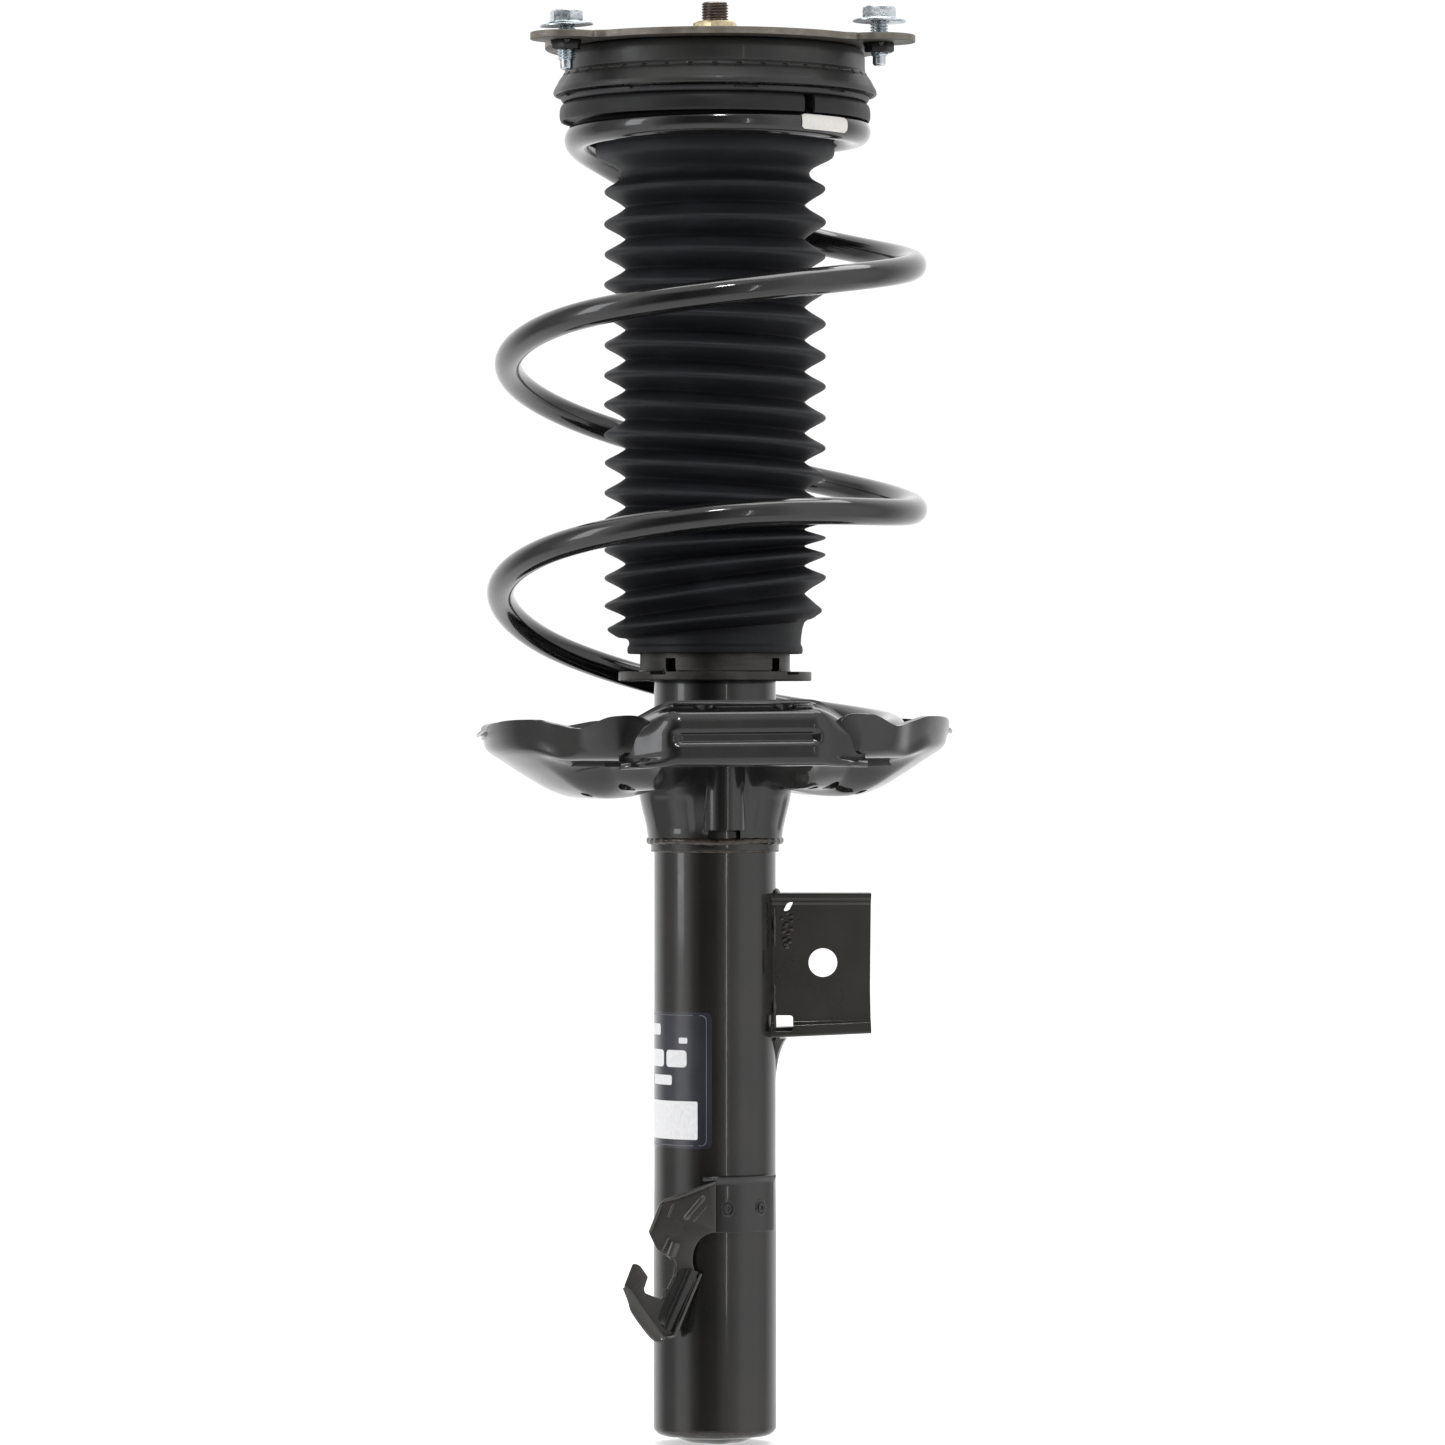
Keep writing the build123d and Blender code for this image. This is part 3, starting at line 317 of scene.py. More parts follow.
def ease(low, high, value):
    """0 below low, 1 above high, and smooth between."""
    t = min(max((value - low) / (high - low), 0.0), 1.0)
    return t * t * (3 - 2 * t)


def bump(value, centre, half, edge):
    """1 within half of the centre, falling to 0 over the edge."""
    return 1 - ease(half, half + edge, abs(value - centre))


def on_curve(table, place):
    """Value at a place on the smooth curve through the table's (place, value) points."""
    def slope(i):
        if i in (0, len(table) - 1):
            return 0.0
        (a0, v0), (a1, v1), (a2, v2) = table[i - 1:i + 2]
        before, after = (v1 - v0) / (a1 - a0), (v2 - v1) / (a2 - a1)
        if before * after <= 0:
            return 0.0
        return (before * (a2 - a1) + after * (a1 - a0)) / (a2 - a0)

    place = min(max(place, table[0][0]), table[-1][0])
    i = next(n for n in range(len(table) - 1) if place <= table[n + 1][0])
    (a0, v0), (a1, v1) = table[i:i + 2]
    step = a1 - a0
    u = (place - a0) / step
    start, end = slope(i) * step, slope(i + 1) * step
    return (
        (2 * u ** 3 - 3 * u ** 2 + 1) * v0 + (u ** 3 - 2 * u ** 2 + u) * start
        + (3 * u ** 2 - 2 * u ** 3) * v1 + (u ** 3 - u ** 2) * end
    )


def rounded(corners, reach, steps=4):
    """Closed outline with rounded corners. A corner's third value is its own reach."""
    outline = []
    for i, corner in enumerate(corners):
        point = Vector(corner[:2])
        before = Vector(corners[i - 1][:2]) - point
        after = Vector(corners[(i + 1) % len(corners)][:2]) - point
        own = corner[2] if len(corner) > 2 else reach
        cut = min(own, 0.48 * before.length, 0.48 * after.length)
        if cut < 0.001:
            outline.append(tuple(point))
            continue
        first, last = point + before.normalized() * cut, point + after.normalized() * cut
        for k in range(steps + 1):
            t = k / steps
            outline.append(tuple(first * (1 - t) ** 2 + point * 2 * t * (1 - t) + last * t * t))
    return outline


def skin(rows, ring_of_rows=False, ring_of_columns=False):
    """Quads over rows of points."""
    width = len(rows[0])
    faces = []
    for i in range(len(rows) - (not ring_of_rows)):
        here, there = i * width, (i + 1) % len(rows) * width
        for j in range(width - (not ring_of_columns)):
            k = (j + 1) % width
            faces.append((here + j, here + k, there + k, there + j))
    return [point for row in rows for point in row], faces


def tube_skin(rows):
    """Quads over closed rows of points, with both ends capped."""
    points, faces = skin(rows, ring_of_columns=True)
    width = len(rows[0])
    ends = [tuple(range(width)), tuple(reversed(range(len(points) - width, len(points))))]
    return points, faces + ends


def joined(*shells):
    """Several (points, faces) shells as one."""
    points, faces = [], []
    for more_points, more_faces in shells:
        start = len(points)
        points += more_points
        faces += [tuple(start + i for i in face) for face in more_faces]
    return points, faces


def moved(shell, change):
    """A shell with each point changed by a function of x, y and z."""
    return [change(*point) for point in shell[0]], shell[1]


def turned(shell, angle):
    """A shell turned about the strut axis."""
    turn = Matrix.Rotation(radians(angle), 3, "Z")
    return moved(shell, lambda x, y, z: tuple(turn @ Vector((x, y, z))))


def lathe(section, steps=192, start=0.0, turn=360.0, centre=(0.0, 0.0), shape=None):
    """A closed (radius, height) section turned about a vertical axis. Shape may move each point."""
    whole = turn >= 360.0
    rows = []
    for i in range(steps + (not whole)):
        angle = start + turn * i / steps
        row = []
        for radius, height in section:
            if shape:
                radius, height = shape(radius, height, angle)
            x, y, z = around(angle, radius, height)
            row.append((x + centre[0], y + centre[1], z))
        rows.append(row)
    return skin(rows, ring_of_rows=True, ring_of_columns=True) if whole else tube_skin(rows)


def prism(outline, low, high):
    """A closed outline of (u, v) points between two heights, as (u, v, height) points."""
    count = len(outline)
    points = [(u, v, low) for u, v in outline] + [(u, v, high) for u, v in outline]
    faces = [(i, (i + 1) % count, (i + 1) % count + count, i + count) for i in range(count)]
    faces.append(tuple(reversed(range(count))))
    faces.append(tuple(range(count, 2 * count)))
    return points, faces


def plate(outlines, thickness, edge=0.3):
    """Flat sheet in the XY plane, with holes and rounded edges, centred on its thickness."""
    curve = bpy.data.curves.new("outline", "CURVE")
    curve.dimensions = "2D"
    curve.fill_mode = "BOTH"
    curve.extrude = thickness / 2 - edge
    curve.bevel_depth = edge
    curve.bevel_resolution = 2
    curve.offset = -edge
    for outline in outlines:
        spline = curve.splines.new("POLY")
        spline.points.add(len(outline) - 1)
        for point, (u, v) in zip(spline.points, outline):
            point.co = (u, v, 0, 1)
        spline.use_cyclic_u = True
    holder = bpy.data.objects.new("outline", curve)
    mesh = bpy.data.meshes.new_from_object(holder)
    shell = [tuple(v.co) for v in mesh.vertices], [tuple(f.vertices) for f in mesh.polygons]
    bpy.data.objects.remove(holder)
    bpy.data.meshes.remove(mesh)
    bpy.data.curves.remove(curve)
    return shell


def circle(x, y, radius, steps=48):
    turns = [tau * i / steps for i in range(steps)]
    return [(x + radius * cos(turn), y + radius * sin(turn)) for turn in turns]


def tidy_mesh(mesh, crease, weld=0.00001):
    """Weld doubled points, face the shells outward, and keep edges sharper than the crease."""
    work = bmesh.new()
    work.from_mesh(mesh)
    bmesh.ops.remove_doubles(work, verts=work.verts, dist=weld)
    bmesh.ops.dissolve_degenerate(work, edges=work.edges, dist=weld / 10)
    bmesh.ops.recalc_face_normals(work, faces=work.faces)
    for face in work.faces:
        face.smooth = True
    for edge in work.edges:
        edge.smooth = edge.calc_face_angle(0.0) < radians(crease)
    work.to_mesh(mesh)
    work.free()


def apply_modifiers(piece):
    """Put the result of the piece's modifiers in its mesh."""
    bpy.context.view_layer.update()
    ready = piece.evaluated_get(bpy.context.evaluated_depsgraph_get())
    mesh = bpy.data.meshes.new_from_object(ready)
    piece.modifiers.clear()
    piece.data = mesh


def soften_edges(piece, width, crease=35.0):
    """Round every edge sharper than the crease."""
    bevel = piece.modifiers.new("edges", "BEVEL")
    bevel.width = width * MM
    bevel.segments = 3
    bevel.limit_method = "ANGLE"
    bevel.angle_limit = radians(crease)
    flat = piece.modifiers.new("normals", "WEIGHTED_NORMAL")
    flat.keep_sharp = True
    apply_modifiers(piece)


def new_object(name, shell, finish=None):
    """An object from a shell in millimetres."""
    mesh = bpy.data.meshes.new(name)
    mesh.from_pydata([(x * MM, y * MM, z * MM) for x, y, z in shell[0]], [], shell[1])
    if finish:
        mesh.materials.append(M[finish])
    piece = bpy.data.objects.new(name, mesh)
    bpy.context.scene.collection.objects.link(piece)
    return piece


def share_by_height(piece, heights, low, high):
    """Let points follow the upper body more and more from the low height to the high one."""
    shares = piece.data.attributes["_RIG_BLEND"]
    for item, height in zip(shares.data, heights):
        item.value = min(max((height - low) / (high - low), 0.0), 1.0)


def make_piece(name, shell, finish, body, replaces=(), crease=38.0):
    """A finished piece. With no body, the caller says what it rides on."""
    piece = new_object(name, shell, finish)
    tidy_mesh(piece.data, crease)
    if replaces:
        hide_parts(*replaces)
    if body:
        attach(piece, body)
    return piece


# ================================================================ shapes that repeat
def thread(centre, bottom, top, major, pitch, point_r=None, columns=48, rows_per_turn=10):
    """A right-hand threaded stud, closed at both ends, with a chamfer or a plain dog point."""
    depth = 0.61 * pitch
    rows = []
    count = round((top - bottom) / pitch * rows_per_turn)
    for i in range(count + 1):
        z = bottom + (top - bottom) * i / count
        row = []
        for j in range(columns):
            phase = (z / pitch - j / columns) % 1.0
            flank = min(max((1 - abs(2 * phase - 1) - 0.18) / 0.62, 0.0), 1.0)
            radius = major - depth * (1 - flank)
            radius = min(radius, major - depth + (top - z), major - depth + (z - bottom))
            row.append((
                centre[0] + radius * cos(tau * j / columns),
                centre[1] + radius * sin(tau * j / columns), z,
            ))
        rows.append(row)
    shells = [tube_skin(rows)]
    if point_r:
        tip = rounded([(0, bottom - 4.2, 0), (point_r - 0.8, bottom - 4.2), (point_r, bottom - 3.4),
                       (point_r, bottom + 0.4), (0, bottom + 0.4, 0)], 0.3)
        shells.append(lathe(tip, 32, centre=centre))
    return joined(*shells)


def hexagon(centre, bottom, top, flats, turn, hole_r=0.0, both_ends=False, per_side=12):
    """Hexagon head or nut with its corners turned down by a 30 degree cone."""
    flat_r = flats / 2
    face_r = 0.94 * flat_r
    rows = []
    for i in range(6 * per_side):
        angle = 360 * i / (6 * per_side)
        local = radians((angle % 60) - 30)
        corner_r = flat_r / cos(local)
        drop = (corner_r - face_r) * 0.577
        low = drop if both_ends else 0.35 * (corner_r - flat_r + 0.3)
        section = [
            (hole_r, bottom), (face_r if both_ends else corner_r - 0.3, bottom),
            (corner_r - 0.08, bottom + low), (corner_r, bottom + low + 0.15),
            (corner_r, top - drop - 0.25), (corner_r - 0.15, top - drop + 0.02),
            (face_r + 0.1, top - 0.12), (face_r - 0.25, top), (hole_r, top),
        ]
        row = []
        for radius, height in section:
            x, y, z = around(angle + turn, radius, height)
            row.append((x + centre[0], y + centre[1], z))
        rows.append(row)
    return skin(rows, ring_of_rows=True, ring_of_columns=True)


def dome(start, end, width, height, to_space, along=16, across=10):
    """A pressed rib or spot between two (u, v) points. The function to_space takes u, v and lift."""
    du, dv = end[0] - start[0], end[1] - start[1]
    length = hypot(du, dv)
    du, dv = (du / length, dv / length) if length > 0.001 else (1.0, 0.0)
    rows = []
    for i in range(along + 1):
        t = i / along
        bulge = 2 * t - 1
        stretch = length / 2 * bulge + width / 2 * sin(bulge * pi / 2)
        slim = width / 2 * sqrt(max(1 - bulge ** 6, 0.0))
        row = []
        for j in range(across + 1):
            s = 2 * j / across - 1
            lift = height * (1 - s * s) * min(1.0, 3 * (1 - abs(bulge)))
            u = (start[0] + end[0]) / 2 + du * stretch - dv * slim * s
            v = (start[1] + end[1]) / 2 + dv * stretch + du * slim * s
            row.append(to_space(u, v, lift))
        rows.append(row)
    return skin(rows)


def bead(path, width, lumps=0.16, sides=10, seed=0.0, closed=False):
    """Weld bead: a lumpy half-sunk tube along a path of (x, y, z) points."""
    rows = []
    count = len(path)
    for i, point in enumerate(path):
        here = Vector(point)
        if closed:
            ahead = Vector(path[(i + 1) % count]) - Vector(path[i - 1])
        else:
            ahead = Vector(path[min(i + 1, count - 1)]) - Vector(path[max(i - 1, 0)])
        ahead.normalize()
        out = Vector((here.x, here.y, 0)).normalized()
        side = ahead.cross(out).normalized()
        lift = side.cross(ahead).normalized()
        end = 1.0 if closed else sin(pi * min(max((i + 0.3) / (count - 0.4), 0.02), 0.98)) ** 0.3
        ripple = 1 + lumps * sin(i * 1.15 + seed) + lumps * noise.noise(here * 0.35 + Vector((seed, 0, 0)))
        radius = width / 2 * ripple * end
        rows.append([
            tuple(here + side * radius * cos(tau * j / sides) + lift * radius * 0.8 * sin(tau * j / sides))
            for j in range(sides)
        ])
    return skin(rows, ring_of_rows=True, ring_of_columns=True) if closed else tube_skin(rows)


# ================================================================ damper tube
tube_low, tube_high = span("outer_tube")
TUBE_R = tube_high[0]
BODY_R = TUBE_R - 0.3
BORE_R = 25.3
TUBE_TOP = tube_high[2]
LAND_TOP = 82.0


def build_tube():
    section = rounded(
        [
            (BORE_R, 0), (TUBE_R, 0, 0.1), (TUBE_R, LAND_TOP), (BODY_R, LAND_TOP + 30),
            (BODY_R, TUBE_TOP - 2), (BODY_R - 2, TUBE_TOP), (22, TUBE_TOP), (22, TUBE_TOP - 2),
            (BORE_R, TUBE_TOP - 2),
        ],
        0.8,
    )
    make_piece("tube_shell", lathe(section, 256), "tube", TUBE, ["outer_tube"])

    def dented(radius, height, angle):
        if radius < TUBE_R - 0.5 and height < -1.2:
            height += 0.25 * noise.noise(Vector(around(angle, radius * 0.14, 0)))
        return radius, height

    corner = [(TUBE_R, 0)]
    corner += [
        (TUBE_R - 4 + 4 * cos(radians(a)), -4 * sin(radians(a))) for a in range(15, 91, 15)
    ]
    foot = corner + rounded(
        [(18.4, -4), (14.5, -7.0, 2.5), (9, -8.0, 2.5), (0, -8.0, 0)], 1.2
    ) + [(0, -4.5), (8, -4.5), (17, -1), (23.4, -1), (24.2, 0)]
    make_piece("tube_foot", lathe(foot, 192, shape=dented), "tube", TUBE, ["base_cap"])

    # The seam that closes the foot, with its crossing weld marks at the front.
    seam = [around(a, TUBE_R - 0.55, -0.9 + 0.12 * sin(radians(7 * a))) for a in range(0, 360, 2)]
    marks = [
        bead([around(a, TUBE_R - 0.9, -1.4 - 0.05 * abs(a - middle)) for a in
              range(middle - 14, middle + 15, 2)], 1.5, seed=float(middle))
        for middle in (-112, -68, 20, 120)
    ]
    seam = bead(seam, 1.1, 0.08, closed=True)
    make_piece("foot_seam", joined(seam, *marks), "weld", TUBE)


# ================================================================ label
LABEL_BOTTOM, LABEL_TOP = span("tube_label")[0][2], span("tube_label")[1][2]
LABEL_RIGHT = -92.8
LABEL_LEFT = -243.0


def patch(left, right, bottom, top, radius, thick, corner, columns=72, rows=40):
    """Thin film on the tube between two angles and two heights, with rounded corners."""
    rows_out, rows_in = [], []
    for i in range(rows + 1):
        t = i / rows
        z = bottom + (top - bottom) * (0.5 - 0.5 * cos(pi * t))
        near = min(z - bottom, top - z)
        cut = corner - sqrt(max(corner ** 2 - (corner - near) ** 2, 0.0)) if near < corner else 0.0
        slip = degrees(cut / radius)
        angles = [left + slip + (right - left - 2 * slip) * j / columns for j in range(columns + 1)]
        rows_out.append([around(a, radius + thick, z) for a in angles])
        rows_in.append([around(a, radius, z) for a in angles])
    return tube_skin([a + list(reversed(b)) for a, b in zip(rows_out, rows_in)])


def build_label():
    film = patch(LABEL_LEFT, LABEL_RIGHT, LABEL_BOTTOM, LABEL_TOP, BODY_R, 0.14, 2.7)
    make_piece("label_film_patch", film, "film", TUBE, ["tube_label"], crease=60)
    raised = BODY_R + 0.15
    inset = 2.3
    line = 0.35
    left, right = radians(LABEL_LEFT) * raised + inset, radians(LABEL_RIGHT) * raised - inset
    low, high = LABEL_BOTTOM + 1.2, LABEL_TOP - 1.2
    loops = []
    for cut in (0.0, line):
        box = [
            (left + cut, low + cut), (right - cut, low + cut),
            (right - cut, high - cut), (left + cut, high - cut),
        ]
        sides = []
        for i, corner in enumerate(box):
            after = box[(i + 1) % 4]
            sides.append((*corner, 3.4 - cut))
            sides += [
                (corner[0] + (after[0] - corner[0]) * k / 40, corner[1] + (after[1] - corner[1]) * k / 40, 0)
                for k in range(4, 37)
            ]
        loops.append(rounded(sides, 0, 6))
    rows = [
        [around(degrees(u / raised), raised + 0.02, z) for u, z in pair] for pair in zip(*loops)
    ]
    make_piece("label_border", skin(rows, ring_of_rows=True), "print_grey", TUBE, crease=60)
    panel = patch(-231, -106.4, 129, 146, raised, 0.02, 0.8)
    blocks = [
        patch(start, end, z, z + tall, raised, 0.02, tall * 0.22, 24, 12)
        for start, end, z, tall in (
            (-228, -190, 161, 7.6), (-186, -146, 161, 7.6), (-142, -117.4, 161, 7.6),
            (-126, -116.6, 171.6, 2.6), (-228, -172, 153, 4.4), (-168, -134.5, 153, 4.4),
            (-228, -152, 175, 5.0),
        )
    ]
    make_piece("label_print", joined(panel, *blocks), "print_white", TUBE, crease=60)


# ================================================================ bump cap
def build_cap():
    low, high = span("bump_cap")
    bottom, top = low[2], high[2]
    flange_r, cap_r = high[0], 33.5
    section = rounded(
        [
            (BODY_R + 0.05, bottom), (flange_r, bottom), (flange_r, bottom + 4), (cap_r, bottom + 4, 1.2),
            (cap_r, top, 2.4), (15, top), (15, top - 2.6), (cap_r - 2.4, top - 2.6, 1.5),
            (cap_r - 2.4, bottom + 3.2), (BODY_R + 0.05, bottom + 3.2),
        ],
        0.5,
    )
    cap = make_piece("bump_cap_shell", lathe(section, 240), "cap", TUBE, ["bump_cap"])
    cutters = []
    for i in range(4):
        for outline, z0, z1 in (
            (rounded([(26, -2.7), (40, -2.7), (40, 2.7), (26, 2.7)], 0.6), bottom + 3.6, bottom + 10),
            (rounded([(cap_r - 0.6, -4.3), (60, -4.3), (60, 4.3), (cap_r - 0.6, 4.3)], 0.8),
             bottom + 2.6, bottom + 5),
        ):
            cutters.append(turned(prism(outline, z0, z1), -126 + 90 * i))
    cut_away(cap, joined(*cutters), crossing=True)


def cut_away(piece, shell, crease=38.0, crossing=False):
    """Subtract a shell from a piece. Crossing says that one of them crosses itself."""
    cutter = new_object("cutter", shell)
    tidy_mesh(cutter.data, crease)
    boolean = piece.modifiers.new("cut", "BOOLEAN")
    boolean.operation = "DIFFERENCE"
    boolean.solver = "EXACT"
    boolean.use_self = crossing
    boolean.object = cutter
    apply_modifiers(piece)
    bpy.data.objects.remove(cutter)
    tidy_mesh(piece.data, crease, 0.000002)


# ================================================================ lower spring seat
SEAT_TURN = 8.0
SEAT_TILT = 0.009        # the seat rises a little towards +X
SHEET = 2.6
FLOOR_R = 34.2

# Under side of the sheet as (radius, height) points from the support cone out to the rim.
WING = [
    (FLOOR_R, 284), (48, 281.2), (63, 281), (74, 284.5), (85, 291), (95, 297.5), (102, 302.5), (106.4, 308),
]
LOBE = [
    (FLOOR_R, 288), (48, 284.6), (60, 284.6), (67, 288.5), (73, 296), (89, 297.2), (99.5, 298.4),
    (103.6, 303),
]
FRONT = [
    (FLOOR_R, 295.6), (48, 295.6), (60, 295.6), (70, 295.7), (80, 295.8), (88, 296), (93, 296.4),
    (96.5, 299),
]
# Rim as (angle from the seat's front, radius over the sheet, height).
RIM = [
    (0, 97, 308), (20, 98, 309), (26, 104, 316.5), (33, 106.2, 317), (43, 106, 311.8), (51, 103.6, 313.6),
    (60, 105.2, 316), (74, 107, 315), (90, 107.2, 309.6), (106, 107, 314), (120, 104.6, 315),
    (132, 103.4, 311.6), (144, 105.6, 312.6), (156, 104.6, 315.4), (168, 103.4, 317), (180, 103, 317.4),
]
RIM_RADII = [(angle, radius - SHEET) for angle, radius, height in RIM]
RIM_HEIGHTS = [(angle, height) for angle, radius, height in RIM]


def seat_shares(side):
    """How much of the wing, lobe and front sections there is at an angle from the seat's front."""
    front = 1 - ease(22, 34, side) + ease(150, 160, side)
    wing = ease(48, 62, side) * (1 - ease(118, 130, side))
    return wing, max(1 - front - wing, 0.0), front


def seat_section(side):
    """Points of the sheet's under side at an angle from the seat's front, rim included."""
    wing, lobe, front = seat_shares(side)
    section = [
        tuple(u * wing + v * lobe + w * front for u, v, w in zip(*corners))
        for corners in zip(WING, LOBE, FRONT)
    ]
    rim_r, rim_z = on_curve(RIM_RADII, side), on_curve(RIM_HEIGHTS, side)
    section[-1] = (min(section[-1][0], rim_r - 0.9), section[-1][1])
    return section + [(rim_r - 0.2, rim_z - SHEET), (rim_r, rim_z)]


def smooth_line(points, per_span=5):
    """Catmull-Rom points through a line of (u, v) points."""
    line = []
    for i in range(len(points) - 1):
        p0 = Vector(points[max(i - 1, 0)])
        p1, p2 = Vector(points[i]), Vector(points[i + 1])
        p3 = Vector(points[min(i + 2, len(points) - 1)])
        for k in range(per_span):
            t = k / per_span
            line.append(tuple(
                0.5 * (2 * p1 + (p2 - p0) * t + (2 * p0 - 5 * p1 + 4 * p2 - p3) * t * t
                       + (3 * p1 - p0 - 3 * p2 + p3) * t ** 3)
            ))
    line.append(tuple(points[-1]))
    return line


def seat_place(angle, radius, height):
    """From the seat's own angle, counted from its front, to the strut's frame."""
    x, y, z = around(angle - 90 + SEAT_TURN, radius, height)
    return (x, y, z + SEAT_TILT * x)


def build_lower_seat():
    rows = []
    steps = 360
    for i in range(steps):
        angle = 360 * i / steps
        side = angle if angle <= 180 else 360 - angle
        line = smooth_line(seat_section(side))
        rows.append([seat_place(angle, r, z) for r, z in line])
    shell = skin(rows, ring_of_rows=True)
    seat = make_piece("seat_pan", shell, "seat", None, crease=70)
    solid = seat.modifiers.new("sheet", "SOLIDIFY")
    solid.thickness = SHEET * MM
    solid.offset = 1.0
    solid.use_even_offset = False
    work = bmesh.new()
    work.from_mesh(seat.data)
    middle = [f for f in work.faces if hypot(*f.calc_center_median()[:2]) < 0.06]
    if sum(f.normal.z for f in middle) < 0:
        bmesh.ops.reverse_faces(work, faces=work.faces)
    work.to_mesh(seat.data)
    work.free()
    apply_modifiers(seat)
    tidy_mesh(seat.data, 50, 0.000002)
    holes = [
        (62.0, -46.5, 3.8), (62.0, 47.5, 3.8), (69.0, -63.0, 2.7), (69.0, 62.0, 2.7), (60.0, 38.0, 2.5),
        (62.0, 130.0, 3.2), (62.0, -130.0, 3.2), (52.0, 90.0, 4.5), (52.0, -90.0, 4.5),
    ]
    cutters = []
    for radius, angle, hole_r in holes:
        x, y, z = seat_place(angle, radius, 0)
        cutters.append(prism(circle(x, y, hole_r, 32), 270, 306))
    cut_away(seat, joined(*cutters), 50)
    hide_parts("lower_spring_seat")
    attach(seat, TUBE)

    # Front panel: a pressed wall with a shelf at its top, two holes and a long recess.
    half = 54.0
    profile = [
        (-89, 296), (-97.5, 296.2), (-100.6, 297.8), (-101.4, 301), (-101.5, 304), (-101.4, 309),
        (-101.1, 313), (-99.2, 317), (-96.6, 318.4), (-88.4, 320.2), (-86.2, 321.4), (-85.0, 323.0),
    ]
    line = smooth_line(profile, 6)
    rows = []
    columns = 160
    for i in range(columns + 1):
        u = half * (2 * i / columns - 1)
        row = []
        for y, z in line:
            recess = bump(u, 0, 28.5, 6.0) * bump(z, 307.4, 1.2, 3.6)
            lean = ease(29, half, abs(u))
            y += 2.2 * recess + 16.5 * lean * ease(294, 300, z)
            z = 296 + (z - 296) * (1 - 0.36 * lean) - 0.8 * lean
            row.append((u, y, z))
        rows.append(row)

    def place(shell):
        return moved(turned(shell, SEAT_TURN), lambda x, y, z: (x, y, z + SEAT_TILT * x))

    panel = make_piece("seat_front_panel", place(skin(rows)), "seat", None, crease=60)
    solid = panel.modifiers.new("sheet", "SOLIDIFY")
    solid.thickness = SHEET * MM
    solid.offset = 0.0
    apply_modifiers(panel)
    tidy_mesh(panel.data, 45, 0.000002)
    cutters = [place(prism(circle(x, -93.2, 5.2, 40), 313, 330)) for x in (-17.4, 17.4)]
    cut_away(panel, joined(*cutters), 45, True)
    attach(panel, TUBE)


# ================================================================ support cone and collar
def build_support():
    low, high = span("seat_support")
    bottom, top = low[2], high[2]
    bead_angles = (-90 + SEAT_TURN, 90 + SEAT_TURN)
    bead_centre, bead_r, bead_bottom = 28.5, 9.5, 265.43

    def outer(angle, z):
        radius = 29.9 + 4.3 * ease(bottom, 286, z)
        for middle in (-135, -45, 45, 135):
            radius -= 0.7 * bump(angle, middle + SEAT_TURN, 14, 8) * bump(z, 273.5, 5.5, 4)
        reach = 0.0
        for middle in bead_angles:
            off = radians(angle - middle)
            across = bead_centre * sin(off)
            if abs(off) < 0.6 and abs(across) < bead_r:
                crown = bead_centre * cos(off) + sqrt(bead_r ** 2 - across ** 2)
                reach = max(reach, min(crown, 38.4 - 0.02 * across ** 2))
        return radius + max(reach - radius, 0.0) * ease(bead_bottom, 266.2, z)

    heights = [bottom + (top - bottom) * i / 44 for i in range(45)]
    steps = 432
    rows = []
    for i in range(steps):
        angle = -180 + 360 * i / steps
        front = [around(angle, outer(angle, z), z) for z in heights]
        back = [around(angle, 27.35 + 3.4 * ease(bottom + 4, 286, z), z) for z in reversed(heights)]
        rows.append(front + back)
    shell = skin(rows, ring_of_rows=True, ring_of_columns=True)
    cone = make_piece("support_cone", shell, "seat", TUBE, ["seat_support"], crease=42)
    # The beads are hollow: an arched mouth at their lower end.
    mouth_r = 7.4
    arch = [(bead_centre + mouth_r * cos(a * pi / 12), mouth_r * sin(a * pi / 12)) for a in range(-6, 7)]
    mouth = prism([(26.0, -mouth_r), *arch, (26.0, mouth_r)], bottom + 0.6, 272)
    cut_away(cone, joined(*[turned(mouth, middle) for middle in bead_angles]), 42)

    collar_low, collar_high = span("collar_ring")
    section = rounded(
        [(BODY_R, collar_low[2]), (28.6, collar_low[2]), (28.9, collar_high[2]), (BODY_R, collar_high[2])],
        0.5,
    )
    make_piece("collar", lathe(section, 192), "seat", TUBE, ["collar_ring"])
    path = [around(a, 29.5, bottom + 0.7 + 0.25 * sin(radians(5 * a))) for a in range(0, 360, 2)]
    make_piece("support_weld", bead(path, 2.9, 0.1, closed=True), "weld", TUBE)
    path = [around(a, 28.2, collar_low[2] - 0.1) for a in range(0, 360, 3)]
    make_piece("collar_weld", bead(path, 1.2, 0.1, closed=True), "weld", TUBE)


def build_pad():
    low, high = span("spring_pad")
    section = rounded([(73, low[2]), (86, low[2]), (86, high[2]), (83, high[2]), (79.5, high[2] - 1.4, 2),
                       (76, high[2]), (73, high[2])], 0.9)
    shells = [lathe(section, 64, start + SEAT_TURN, 96) for start in (-48, 132)]
    make_piece("coil_pad", joined(*shells), "isolator", TUBE, ["spring_pad"])


